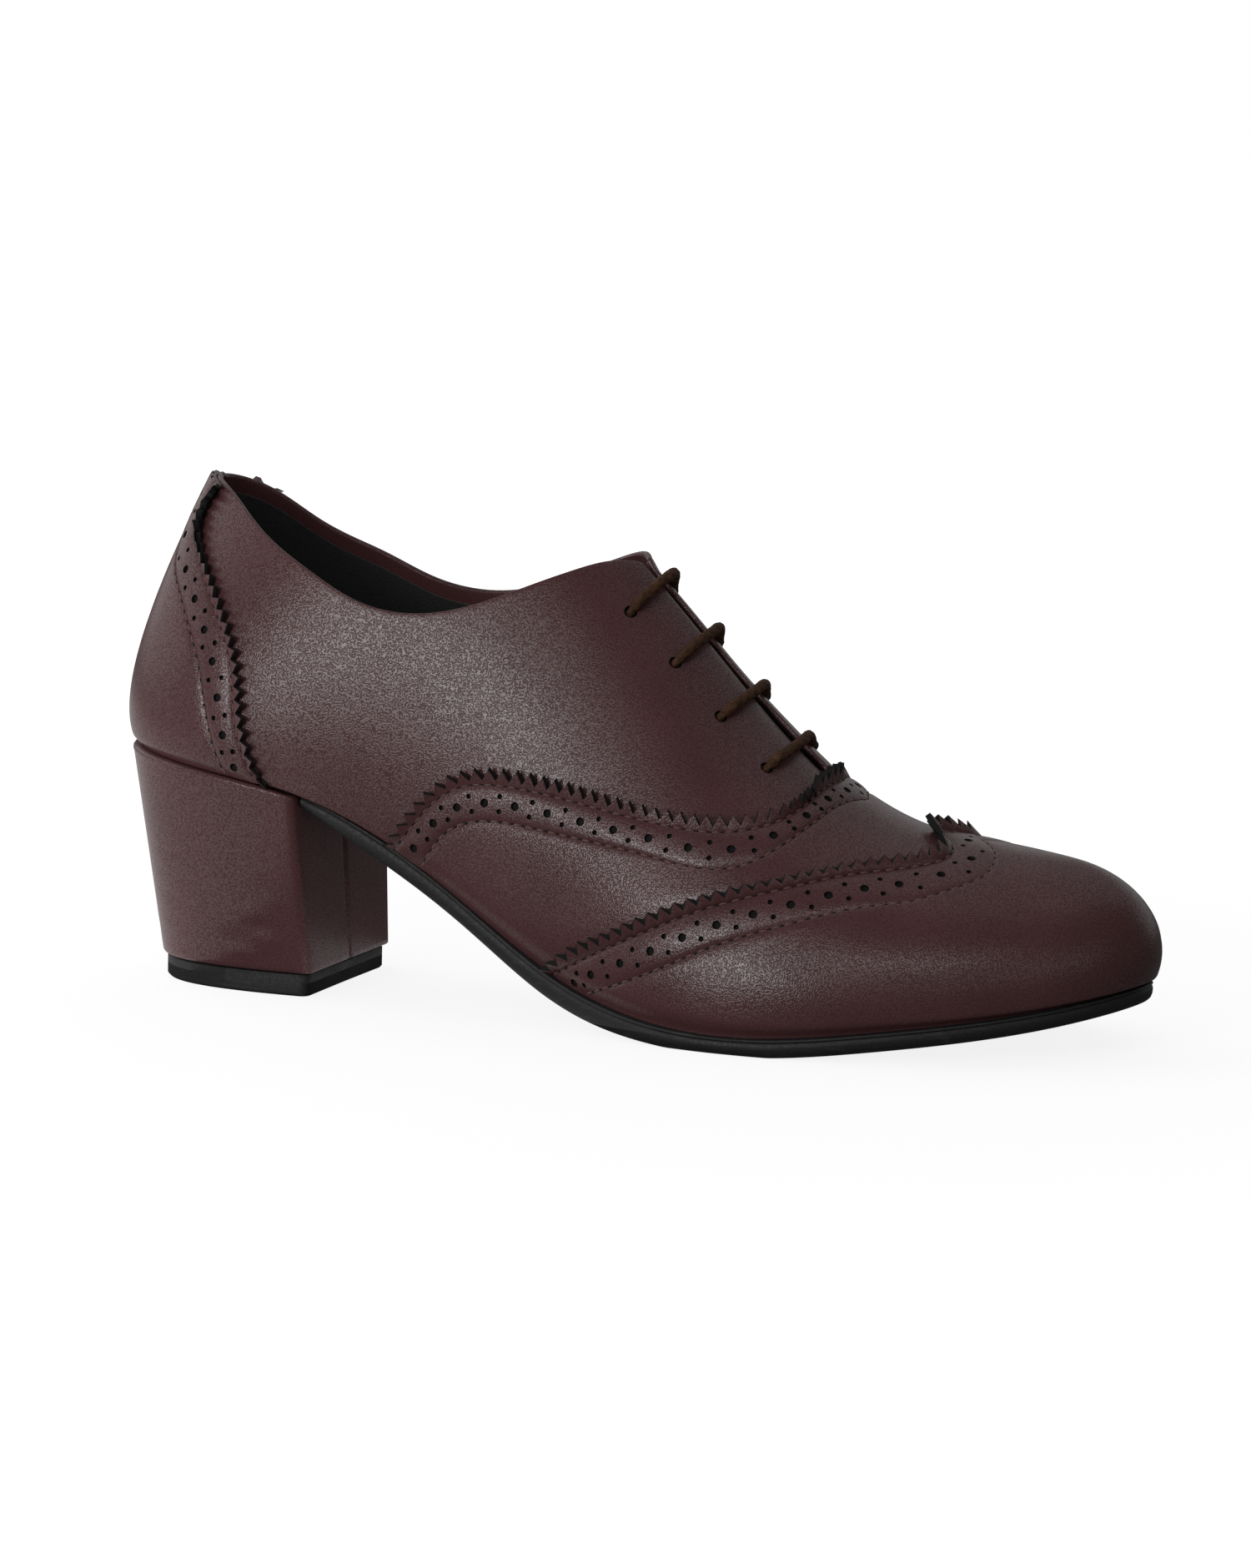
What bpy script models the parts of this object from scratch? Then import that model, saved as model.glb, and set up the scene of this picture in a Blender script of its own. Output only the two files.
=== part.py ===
"""Right-foot wing-tip oxford with a covered block heel, built on the sections of its last.

Metres, +Z up, the toe along +X, the lateral side along -Y, standing on Z = 0.
A place on the last is a station, 0 at the back of the heel and 1 at the tip of the toe,
negative on the lateral side, and a height share, 0 at the feather line and 1 at the crest.
"""
from collections import namedtuple
from functools import lru_cache

import bmesh
import bpy
import numpy as np
from mathutils import Vector

# Driving sizes of the last
LAST_LENGTH = 0.236
BALL_WIDTH = 0.078
INSTEP = 0.110
HEEL_HEIGHT = 0.054
CREST_SIDE = 0.001
HEEL_REACH = 0.11785
SIDE_SHIFT = 0.0017

# Wall, panels and clearances
GAP = 0.00035
WELD = 0.00001
WALL = 0.0018
WING_THICKNESS = 0.0015
VAMP_THICKNESS = 0.0008
COUNTER_THICKNESS = 0.0010
PANEL_FOOT_RISE = 0.0009
SEAM_GAP = 0.0015
COLLAR_INSET = 0.004

# Throat, tongue and lace
THROAT_START = 0.45
THROAT_END = 0.682
THROAT_HALF_GAP = 0.0015
TONGUE_GAP = 0.0005
TONGUE_THICKNESS = 0.0016
TONGUE_TOP = 0.515
TONGUE_FRONT = 0.72
TONGUE_EDGE = 0.66
EYELET_COUNT = 4
EYELET_FIRST = 0.506
EYELET_STEP = 0.0453
EYELET_HEIGHT = 0.757
EYELET_RADIUS = 0.0015
EYELET_DEPTH = 0.008
EYELET_SIDES = 12
LACE_RADIUS = 0.0012
LACE_LEAN = 0.0145
LACE_ARCH = 0.0009
LACE_POINTS = 11
LACE_ROUNDING = 2

# Insole, outsole and heel
INSOLE_THICKNESS = 0.002
INSOLE_INSET = 0.0026
SOLE_BELLY_SHARE = 0.45
SOLE_TOP_INSET = 0.0003
SOLE_FOOT_INSET = 0.0009
BREAST_TOP_X = -0.0704
BREAST_FOOT_X = -0.0682
BREAST_GAP = 0.0008
HEEL_MARGIN_BACK = 0.0025
HEEL_MARGIN_BREAST = 0.0012
HEEL_LENGTH_TAPER = 0.894
HEEL_LATERAL_TAPER = 0.79
HEEL_MEDIAL_TAPER = 0.92
HEEL_ROWS = 4
TIP_HEIGHT = 0.005
TIP_SCALE = 0.955

# Mesh steps
UPPER_GRID = (44, 12)
WING_GRID = (18, 16)
WING_EASE = 0.5
COUNTER_GRID = (9, 11)
TONGUE_GRID = (10, 6)
VAMP_ROWS = 6
VAMP_SEAM_STEPS = 18
VAMP_CREST_STEPS = 4
VAMP_FEATHER_STEPS = 6
SOLE_STATIONS = 42
HEEL_STATIONS = 14
INSOLE_STATIONS = 44
HALVINGS = 24
PROBE = 0.002
CREST_SHARE = 0.999
GRID_HALF = 0.5
SHARP_DEGREES = 35

PERCENT = 0.01
LATERAL = -1
MEDIAL = 1
UP = Vector((0, 0, 1))

# Percent: along of LAST_LENGTH, sides, flares and crowns of BALL_WIDTH,
# seat of HEEL_HEIGHT, crest and rise of INSTEP
Section = namedtuple(
    "Section",
    "name along lateral medial seat crest_along crest "
    "flare_lateral flare_medial rise crown_lateral crown_medial",
)
SECTIONS = (
    Section("heel_back", 0.0, 0.0, 0.0, 100.0, 13.1, 129.1, 15.4, 15.4, 14.1, 0.0, 0.0),
    Section("heel_curve", 3.2, 22.6, 22.1, 98.5, 13.6, 129.1, 11.5, 11.5, 15.0, 2.6, 2.6),
    Section("heel_side", 11.4, 33.3, 32.1, 93.5, 16.1, 129.1, 7.1, 7.1, 18.2, 10.3, 10.3),
    Section("heel_breast", 21.6, 34.6, 32.4, 84.3, 23.3, 127.3, 5.8, 6.4, 23.6, 20.5, 19.2),
    Section("waist", 34.3, 34.0, 26.3, 56.5, 35.2, 117.3, 7.1, 10.3, 29.1, 24.4, 21.8),
    Section("shank", 46.2, 39.7, 28.2, 25.0, 46.2, 100.0, 7.7, 11.5, 32.7, 20.5, 17.9),
    Section("ball_back", 57.2, 49.4, 37.8, 10.0, 56.4, 78.0, 5.1, 7.7, 29.1, 21.8, 17.9),
    Section("ball", 68.2, 53.2, 46.8, 7.6, 66.5, 55.4, 4.5, 5.1, 21.8, 28.2, 21.8),
    Section("joint_front", 79.2, 47.4, 48.1, 12.6, 75.8, 42.2, 5.1, 5.1, 17.3, 29.5, 25.6),
    Section("toe_side", 89.4, 35.0, 38.1, 18.9, 84.3, 38.2, 6.4, 6.4, 13.6, 25.6, 25.6),
    Section("toe_corner", 96.8, 17.9, 22.4, 25.2, 90.0, 36.7, 6.7, 6.7, 10.9, 20.2, 20.2),
    Section("toe_tip", 99.9, -2.6, 2.6, 28.5, 91.9, 36.2, 6.9, 6.9, 10.2, 18.4, 18.4),
)

# Collar line from the side, percent of LAST_LENGTH and of INSTEP
CollarRow = namedtuple("CollarRow", "along lateral medial")
COLLAR = (
    CollarRow(3.0, 107.8, 107.8),
    CollarRow(5.3, 106.0, 105.8),
    CollarRow(10.2, 102.1, 100.7),
    CollarRow(14.0, 95.9, 94.6),
    CollarRow(20.3, 87.7, 88.2),
    CollarRow(25.0, 82.7, 83.8),
    CollarRow(29.9, 80.5, 81.6),
    CollarRow(36.4, 82.5, 82.9),
    CollarRow(42.1, 87.3, 87.3),
    CollarRow(45.8, 90.5, 90.5),
    CollarRow(48.3, 92.0, 92.0),
    CollarRow(50.4, 91.4, 91.4),
    CollarRow(52.1, 89.1, 89.1),
    CollarRow(53.4, 86.4, 86.4),
)

# Seams of the panels, percent of the height share and of the station
SeamRow = namedtuple("SeamRow", "height station")
VAMP_SEAM = (
    SeamRow(0.0, 31.3),
    SeamRow(15.0, 34.2),
    SeamRow(24.0, 37.7),
    SeamRow(33.4, 45.6),
    SeamRow(42.7, 56.5),
    SeamRow(50.8, 61.7),
    SeamRow(64.0, 65.6),
    SeamRow(80.0, 67.6),
    SeamRow(100.0, 68.8),
)
WING_SEAM = (
    SeamRow(0.0, 45.8),
    SeamRow(10.0, 50.0),
    SeamRow(28.0, 59.0),
    SeamRow(41.0, 65.2),
    SeamRow(61.0, 72.5),
    SeamRow(78.0, 79.5),
    SeamRow(87.0, 81.7),
    SeamRow(95.0, 80.6),
    SeamRow(100.0, 78.6),
)
# Here the height is a share of the way up to the collar
COUNTER_SEAM = (
    SeamRow(0.0, 20.5),
    SeamRow(18.0, 18.9),
    SeamRow(35.0, 18.0),
    SeamRow(53.0, 17.0),
    SeamRow(70.0, 13.5),
    SeamRow(82.0, 9.9),
    SeamRow(91.0, 8.1),
    SeamRow(100.0, 10.3),
)

# Edge of the outsole past the feather line and its thickness, metres
SoleRow = namedtuple("SoleRow", "along margin thickness")
SOLE = (
    SoleRow(20.0, -0.0015, 0.0024),
    SoleRow(24.0, -0.0004, 0.0042),
    SoleRow(30.0, 0.0005, 0.0052),
    SoleRow(38.0, 0.0012, 0.0052),
    SoleRow(46.0, 0.0018, 0.0056),
    SoleRow(52.0, 0.0020, 0.0052),
    SoleRow(58.0, 0.0022, 0.0044),
    SoleRow(70.0, 0.0024, 0.0040),
    SoleRow(90.0, 0.0020, 0.0040),
    SoleRow(100.0, 0.0016, 0.0040),
)

# Colours and finish of the parts
Finish = namedtuple("Finish", "colour roughness")
BURGUNDY = Finish((0.095, 0.052, 0.055, 1.0), 0.45)
BLACK_RUBBER = Finish((0.028, 0.027, 0.030, 1.0), 0.60)
SOLE_BLACK = Finish((0.020, 0.017, 0.018, 1.0), 0.40)
BROWN_CORD = Finish((0.035, 0.018, 0.012, 1.0), 0.80)
LINING_BLACK = Finish((0.018, 0.018, 0.020, 1.0), 0.90)


class SmoothCurve:
    """Cubic curve through rows of values at knots, closed in a loop where a period is given."""

    def __init__(self, knots, values, period=None):
        self.knots = np.array(knots, float)
        self.values = np.array(values, float)
        self.period = period
        if period:
            self.knots = np.append(self.knots, self.knots[0] + period)
            self.values = np.vstack((self.values, self.values[:1]))
        self.bends = self.solve_bends()

    def solve_bends(self):
        """Second slopes at the knots, free at open ends and continuous round a loop."""
        spans = np.diff(self.knots)
        slopes = (np.diff(self.values, axis=0).T / spans).T
        matrix = np.eye(len(self.knots))
        target = np.zeros_like(self.values)
        for i in range(1, len(spans)):
            matrix[i, i - 1:i + 2] = (spans[i - 1], 2 * (spans[i - 1] + spans[i]), spans[i])
            target[i] = 6 * (slopes[i] - slopes[i - 1])
        if self.period:
            matrix[0, 0] = 2 * (spans[-1] + spans[0])
            matrix[0, 1] = spans[0]
            matrix[0, -2] = spans[-1]
            target[0] = 6 * (slopes[0] - slopes[-1])
            matrix[-1, 0] = -1
        return np.linalg.solve(matrix, target)

    def at(self, place):
        """Values of the curve at a place on its knots."""
        if self.period:
            place = (place - self.knots[0]) % self.period + self.knots[0]
        i = int(np.clip(np.searchsorted(self.knots, place, "right") - 1, 0, len(self.knots) - 2))
        span = self.knots[i + 1] - self.knots[i]
        after = (place - self.knots[i]) / span
        before = 1 - after
        straight = before * self.values[i] + after * self.values[i + 1]
        bend = (before**3 - before) * self.bends[i] + (after**3 - after) * self.bends[i + 1]
        return straight + bend * span**2 / 6


Station = namedtuple("Station", "x side seat crest_x crest flare rise crown")


def along_x(along):
    """Place along the shoe of a percentage of the last."""
    return along * PERCENT * LAST_LENGTH - HEEL_REACH


def section_station(section, side):
    """One side of a section, in metres."""
    if side == LATERAL:
        across = -section.lateral
        flare = section.flare_lateral
        crown = section.crown_lateral
    else:
        across = section.medial
        flare = section.flare_medial
        crown = section.crown_medial
    return Station(
        x=along_x(section.along),
        side=across * PERCENT * BALL_WIDTH + SIDE_SHIFT,
        seat=section.seat * PERCENT * HEEL_HEIGHT,
        crest_x=along_x(section.crest_along),
        crest=section.crest * PERCENT * INSTEP,
        flare=flare * PERCENT * BALL_WIDTH,
        rise=section.rise * PERCENT * INSTEP,
        crown=crown * PERCENT * BALL_WIDTH,
    )


def outline_knots():
    """Stations of the sections: their share of the way along the outline."""
    x = np.array([section.along for section in SECTIONS]) * LAST_LENGTH
    half = np.array([section.lateral + section.medial for section in SECTIONS]) * BALL_WIDTH / 2
    way = np.append(0, np.cumsum(np.hypot(np.diff(x), np.diff(half))))
    return way / way[-1]


def last_loop():
    """Closed curve of the sections: lateral toe to heel, then heel to medial toe."""
    knots = outline_knots()
    lateral = [section_station(section, LATERAL) for section in SECTIONS]
    medial = [section_station(section, MEDIAL) for section in SECTIONS]
    return SmoothCurve(
        np.concatenate((-knots[:0:-1], knots[:-1])),
        lateral[:0:-1] + medial[:-1],
        period=2,
    )


def columns(rows, knot, *names):
    """Curve of some columns of a table over the column of its knots."""
    knots = [getattr(row, knot) for row in rows]
    values = [[getattr(row, name) for name in names] for row in rows]
    return SmoothCurve(knots, values)


LOOP = last_loop()
COLLAR_CURVE = columns(COLLAR, "along", "lateral", "medial")
SOLE_CURVE = columns(SOLE, "along", "margin", "thickness")
WING_CURVE = columns(WING_SEAM, "height", "station")
COUNTER_CURVE = columns(COUNTER_SEAM, "height", "station")


def station(place):
    """Section of the last at a station."""
    return Station(*LOOP.at(place))


def crest_slope(crest_x):
    """Rise of the crest line for each metre along the shoe."""
    x = np.array([along_x(section.crest_along) for section in SECTIONS])
    height = np.array([section.crest for section in SECTIONS]) * PERCENT * INSTEP
    return float(np.interp(crest_x, (x[1:] + x[:-1]) / 2, np.diff(height) / np.diff(x)))


def wall(place, height):
    """Point on the outside of the upper, on a bent line from the feather line to the crest."""
    row = station(place)
    foot = Vector((row.x, row.side, row.seat))
    crest = Vector((row.crest_x, CREST_SIDE + SIDE_SHIFT, row.crest))
    away = Vector((foot.x - crest.x, foot.y - crest.y, 0)).normalized()
    low = foot + away * row.flare + UP * row.rise
    high = crest + (away + UP * (crest_slope(row.crest_x) * away.x)) * row.crown
    rest = 1 - height
    ends = foot * rest**3 + crest * height**3
    return ends + low * (3 * height * rest**2) + high * (3 * height**2 * rest)


def wall_normal(place, height):
    """Direction straight out of the upper."""
    if height > CREST_SHARE:
        return Vector((-crest_slope(station(place).crest_x), 0, 1)).normalized()
    along = wall(place + PROBE, height) - wall(place - PROBE, height)
    upward = wall(place, height + PROBE) - wall(place, height - PROBE)
    return upward.cross(along).normalized()


def lifted(place, height, lift):
    """Point at a distance out from the upper."""
    return wall(place, height) + wall_normal(place, height) * lift


def collar_height(place, x):
    """Height of the collar line above a place along the shoe."""
    along = (x + HEEL_REACH) / LAST_LENGTH / PERCENT
    if along > COLLAR[-1].along:
        return 2 * INSTEP
    lateral, medial = COLLAR_CURVE.at(along) * PERCENT * INSTEP
    return lateral if place < 0 else medial


@lru_cache(maxsize=None)
def top_share(place):
    """Height share at which the wall stops, at the collar, the throat or the crest."""
    low = 0.0
    high = 1.0
    for _ in range(HALVINGS):
        middle = (low + high) / 2
        point = wall(place, middle)
        if point.z > collar_height(place, point.x):
            high = middle
        else:
            low = middle
    if THROAT_START < abs(place) < THROAT_END:
        high = min(high, 1 - THROAT_HALF_GAP / (3 * station(place).crown))
    return high


def foot_share(place):
    """Height share of the lower edge of a panel."""
    return PANEL_FOOT_RISE / (3 * station(place).rise)


def mix(first, last, share):
    """Value part of the way from one value to another."""
    return first + (last - first) * share


def shares(steps):
    """Even shares from 0 to 1."""
    return [i / steps for i in range(steps + 1)]


def wing_station(height):
    """Station of the wing cap's seam at a height share."""
    return float(WING_CURVE.at(height / PERCENT)[0]) * PERCENT


def upper_place(side, along, up):
    """Whole wall of the upper."""
    return along, up * top_share(side * along)


def wing_place(side, along, up):
    """Wing cap, from its seam forward to the middle of the toe."""
    closer_at_toe = along * (1 + WING_EASE * (1 - along))
    place = mix(wing_station(up), 1, closer_at_toe)
    return place, max(up, foot_share(side * place))


def counter_place(side, along, up):
    """Heel counter, from the middle of the heel forward to its seam."""
    place = along * float(COUNTER_CURVE.at(up / PERCENT)[0]) * PERCENT
    top = top_share(side * place) - COLLAR_INSET
    return place, mix(foot_share(side * place), top, up)


def tongue_place(side, along, up):
    """Tongue, on both sides of the crest under the facings."""
    return mix(TONGUE_TOP, TONGUE_FRONT, along), mix(TONGUE_EDGE, 1, up)


def vamp_top():
    """Upper edge of the vamp band: its seam up to the throat, then the crest to the wing cap."""
    rows = np.array(VAMP_SEAM) * PERCENT
    steps = np.hypot(np.diff(rows[:, 0]), np.diff(rows[:, 1]))
    seam = SmoothCurve(np.append(0, np.cumsum(steps)) / steps.sum(), rows)
    edge = []
    for share in shares(VAMP_SEAM_STEPS):
        height, place = seam.at(share)
        edge.append((place, height))
    throat = VAMP_SEAM[-1].station * PERCENT
    peak = wing_station(1) - SEAM_GAP
    for share in shares(VAMP_CREST_STEPS)[1:]:
        edge.append((mix(throat, peak, share), 1))
    return edge


def vamp_bottom():
    """Lower edge of the vamp band: the feather line, then the seam of the wing cap."""
    rear = VAMP_SEAM[0].station * PERCENT
    front = wing_station(0) - SEAM_GAP
    edge = [(mix(rear, front, share), 0) for share in shares(VAMP_FEATHER_STEPS)]
    for share in shares(WING_GRID[1])[1:]:
        edge.append((wing_station(share) - SEAM_GAP, share))
    return edge


VAMP_EDGES = list(zip(vamp_top(), vamp_bottom()))


def vamp_place(side, along, up):
    """Vamp band, ruled between its two edges."""
    upper_end, lower_end = VAMP_EDGES[round(along * (len(VAMP_EDGES) - 1))]
    place = mix(lower_end[0], upper_end[0], up)
    height = mix(lower_end[1], upper_end[1], up)
    return place, max(height, foot_share(side * place))


def make_material(name, finish):
    """Plain surface in the part's colour."""
    material = bpy.data.materials.new(name)
    material.use_nodes = True
    shader = material.node_tree.nodes["Principled BSDF"]
    shader.inputs["Base Color"].default_value = finish.colour
    shader.inputs["Roughness"].default_value = finish.roughness
    shader.inputs["Metallic"].default_value = 0.0
    return material


def add_mesh(name, shape, finish, collection):
    """Object with its own mesh and material."""
    mesh = bpy.data.meshes.new(name)
    shape.to_mesh(mesh)
    shape.free()
    mesh.shade_smooth()
    mesh.materials.append(make_material(name, finish))
    item = bpy.data.objects.new(name, mesh)
    collection.objects.link(item)
    return item


def add_panel(name, grid, place_of, lift, thickness, finish, collection):
    """Leather panel over both sides of the last, thickened outwards, or inwards where negative."""
    shape = bmesh.new()
    for side in (LATERAL, MEDIAL):
        half = bmesh.ops.create_grid(shape, x_segments=grid[0], y_segments=grid[1], size=GRID_HALF)
        faces = {face for vert in half["verts"] for face in vert.link_faces}
        for vert in half["verts"]:
            place, height = place_of(side, vert.co.x + GRID_HALF, vert.co.y + GRID_HALF)
            vert.co = lifted(side * place, height, lift)
        if side == MEDIAL:
            bmesh.ops.reverse_faces(shape, faces=list(faces))
    bmesh.ops.remove_doubles(shape, verts=shape.verts, dist=WELD)
    item = add_mesh(name, shape, finish, collection)
    shell = item.modifiers.new("thickness", "SOLIDIFY")
    shell.thickness = abs(thickness)
    shell.offset = 1 if thickness > 0 else -1
    shell.use_even_offset = True
    return item


def add_loft(name, rings, finish, collection):
    """Closed body through rings of points across the shoe, capped where its end is open."""
    shape = bmesh.new()
    length = len(rings) - 1
    turn = len(rings[0])
    grid = bmesh.ops.create_grid(shape, x_segments=length, y_segments=turn, size=GRID_HALF)
    for vert in grid["verts"]:
        ring = rings[round((vert.co.x + GRID_HALF) * length)]
        vert.co = ring[round((vert.co.y + GRID_HALF) * turn) % turn]
    bmesh.ops.remove_doubles(shape, verts=shape.verts, dist=WELD)
    bmesh.ops.holes_fill(shape, edges=shape.edges)
    bmesh.ops.recalc_face_normals(shape, faces=shape.faces)
    item = add_mesh(name, shape, finish, collection)
    item.data.set_sharp_from_angle(angle=np.radians(SHARP_DEGREES))
    return item


def ring_across(place, side_points):
    """Ring at a station: down the lateral side, across the bottom and up the medial side."""
    return side_points(-place) + side_points(place)[::-1]


def outline(place, margin):
    """Plan point of the feather line, moved outwards."""
    row = station(place)
    ahead = station(place + PROBE)
    behind = station(place - PROBE)
    outward = Vector((behind.side - ahead.side, ahead.x - behind.x, 0)).normalized()
    return Vector((row.x, row.side, 0)) + outward * margin


def station_at(x):
    """Station of the feather line at a place along the shoe."""
    low = 0.0
    high = 1.0
    for _ in range(HALVINGS):
        middle = (low + high) / 2
        if station(middle).x < x:
            low = middle
        else:
            high = middle
    return high


def insole_side(place):
    """Edge of the insole, inside the upper and just above the outsole."""
    plan = outline(place, -INSOLE_INSET)
    seat = station(place).seat
    return [plan + UP * (seat + INSOLE_THICKNESS), plan + UP * seat]


def sole_side(place):
    """Edge of the outsole: a rounded wall, flat on the ground under the ball."""
    row = station(place)
    margin, thickness = SOLE_CURVE.at((row.x + HEEL_REACH) / LAST_LENGTH / PERCENT)
    top = row.seat - GAP
    foot = max(top - thickness, 0)
    return [
        outline(place, margin - SOLE_TOP_INSET) + UP * top,
        outline(place, margin) + UP * mix(top, foot, SOLE_BELLY_SHARE),
        outline(place, margin - SOLE_FOOT_INSET) + UP * foot,
    ]


def heel_points(place, breast_place):
    """Top and foot of the heel cover at a station."""
    share = abs(place) / breast_place
    top = outline(place, mix(HEEL_MARGIN_BACK, HEEL_MARGIN_BREAST, share))
    taper = HEEL_LATERAL_TAPER if place < 0 else HEEL_MEDIAL_TAPER
    foot_x = BREAST_FOOT_X - (BREAST_TOP_X - top.x) * HEEL_LENGTH_TAPER
    foot = Vector((foot_x, SIDE_SHIFT + (top.y - SIDE_SHIFT) * taper, TIP_HEIGHT + GAP))
    return top + UP * (station(place).seat - GAP), foot


def add_soles(collection):
    """Insole, outsole, heel block and heel tip."""
    breast = station_at(BREAST_TOP_X)

    def heel_side(place):
        top, foot = heel_points(place, breast)
        return [top.lerp(foot, share) for share in shares(HEEL_ROWS)]

    def tip_side(place):
        foot = heel_points(place, breast)[1]
        middle = Vector(((BREAST_FOOT_X + heel_points(0, breast)[1].x) / 2, SIDE_SHIFT, 0))
        plan = middle + (Vector((foot.x, foot.y, 0)) - middle) * TIP_SCALE
        return [plan + UP * TIP_HEIGHT, plan]

    sole_start = station_at(BREAST_TOP_X + BREAST_GAP)
    insole = [ring_across(share, insole_side) for share in shares(INSOLE_STATIONS)]
    sole = [ring_across(mix(sole_start, 1, share), sole_side) for share in shares(SOLE_STATIONS)]
    heel = [ring_across(breast * share, heel_side) for share in shares(HEEL_STATIONS)]
    tip = [ring_across(breast * share, tip_side) for share in shares(HEEL_STATIONS)]
    add_loft("insole", insole, LINING_BLACK, collection)
    add_loft("outsole", sole, SOLE_BLACK, collection)
    add_loft("heel_block", heel, BURGUNDY, collection)
    add_loft("heel_tip", tip, BLACK_RUBBER, collection)


def eyelet_stations():
    """Stations of the eyelets, from the top down."""
    return [EYELET_FIRST + EYELET_STEP * i for i in range(EYELET_COUNT)]


def add_eyelet_cutter(collection):
    """Pins that cut the eyelets through both facings."""
    shape = bmesh.new()
    for side in (LATERAL, MEDIAL):
        for place in eyelet_stations():
            turn = wall_normal(side * place, EYELET_HEIGHT).to_track_quat("Z", "Y").to_matrix().to_4x4()
            turn.translation = wall(side * place, EYELET_HEIGHT)
            bmesh.ops.create_cone(
                shape,
                cap_ends=True,
                segments=EYELET_SIDES,
                radius1=EYELET_RADIUS,
                radius2=EYELET_RADIUS,
                depth=EYELET_DEPTH,
                matrix=turn,
            )
    cutter = add_mesh("eyelet_cutter", shape, LINING_BLACK, collection)
    cutter.hide_render = True
    cutter.display_type = "WIRE"
    return cutter


def add_lace_bar(number, place, collection):
    """Bar of the lace from one eyelet, square over the throat, to the eyelet across."""
    curve = bpy.data.curves.new(f"lace_bar_{number}", "CURVE")
    curve.dimensions = "3D"
    curve.bevel_depth = LACE_RADIUS
    curve.bevel_resolution = LACE_ROUNDING
    curve.use_fill_caps = True
    run = curve.splines.new("POLY")
    run.points.add(LACE_POINTS - 1)
    for point, share in zip(run.points, shares(LACE_POINTS - 1)):
        across = 2 * share - 1
        side = LATERAL if across < 0 else MEDIAL
        where = place + LACE_LEAN * (1 - across**2)
        height = mix(1, EYELET_HEIGHT, abs(across))
        lift = LACE_RADIUS + GAP + LACE_ARCH * (1 - across**2)
        point.co = (*lifted(side * where, height, lift), 1)
    curve.materials.append(make_material(curve.name, BROWN_CORD))
    collection.objects.link(bpy.data.objects.new(curve.name, curve))


def add_upper(collection, cutters):
    """Hollow upper with its eyelets, and the panels and tongue that follow it."""
    upper = add_panel("upper", UPPER_GRID, upper_place, 0, -WALL, BURGUNDY, collection)
    eyelets = upper.modifiers.new("eyelets", "BOOLEAN")
    eyelets.object = add_eyelet_cutter(cutters)
    eyelets.operation = "DIFFERENCE"
    eyelets.solver = "EXACT"
    vamp_grid = (len(VAMP_EDGES) - 1, VAMP_ROWS)
    add_panel("wing_cap", WING_GRID, wing_place, GAP, WING_THICKNESS, BURGUNDY, collection)
    add_panel("vamp_band", vamp_grid, vamp_place, GAP, VAMP_THICKNESS, BURGUNDY, collection)
    add_panel("heel_counter", COUNTER_GRID, counter_place, GAP, COUNTER_THICKNESS, BURGUNDY, collection)
    tongue_lift = -WALL - TONGUE_GAP
    add_panel("tongue", TONGUE_GRID, tongue_place, tongue_lift, -TONGUE_THICKNESS, BURGUNDY, collection)


def new_collection(name):
    """Collection under the scene's own."""
    collection = bpy.data.collections.new(name)
    bpy.context.scene.collection.children.link(collection)
    return collection


def main():
    """Build the shoe in an empty scene."""
    for item in list(bpy.data.objects):
        bpy.data.objects.remove(item)
    shoe = new_collection("oxford_shoe")
    cutters = new_collection("cutters")
    add_upper(shoe, cutters)
    add_soles(shoe)
    for number, place in enumerate(eyelet_stations(), start=1):
        add_lace_bar(number, place, shoe)


main()
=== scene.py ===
"""Dressed right-foot wing-tip oxford, laid out as an add-on and run as a script.

It builds the leather, linings, stitching, lace, sole and heel round the packed part.
A place on the last is a station, 0 at the back of the heel and 1 at the tip of the toe,
negative on the lateral side, and a height share, 0 at the feather line and 1 at the crest.
"""
from collections import namedtuple

import bmesh
import bpy
import numpy as np
from bpy.props import FloatProperty, FloatVectorProperty, PointerProperty
from mathutils import Matrix, Vector


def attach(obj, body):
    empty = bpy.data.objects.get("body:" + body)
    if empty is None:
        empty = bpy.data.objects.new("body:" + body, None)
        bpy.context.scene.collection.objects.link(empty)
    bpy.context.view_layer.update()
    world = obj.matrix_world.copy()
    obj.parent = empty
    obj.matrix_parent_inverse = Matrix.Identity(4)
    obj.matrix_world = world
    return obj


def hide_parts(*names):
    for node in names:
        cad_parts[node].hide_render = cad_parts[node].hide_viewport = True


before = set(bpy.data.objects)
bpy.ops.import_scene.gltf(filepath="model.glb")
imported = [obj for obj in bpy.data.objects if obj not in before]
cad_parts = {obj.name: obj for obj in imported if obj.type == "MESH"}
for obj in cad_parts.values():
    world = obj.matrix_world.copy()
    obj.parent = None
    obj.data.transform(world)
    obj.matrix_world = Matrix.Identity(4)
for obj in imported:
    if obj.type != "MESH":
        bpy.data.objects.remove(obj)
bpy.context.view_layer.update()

bl_info = {
    "name": "Wing-tip oxford",
    "version": (1, 0, 0),
    "blender": (4, 5, 0),
    "location": "3D View > Sidebar > Oxford",
    "description": "Builds the leather, trim, lace and sole of a block-heeled oxford",
    "category": "Object",
}

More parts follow.
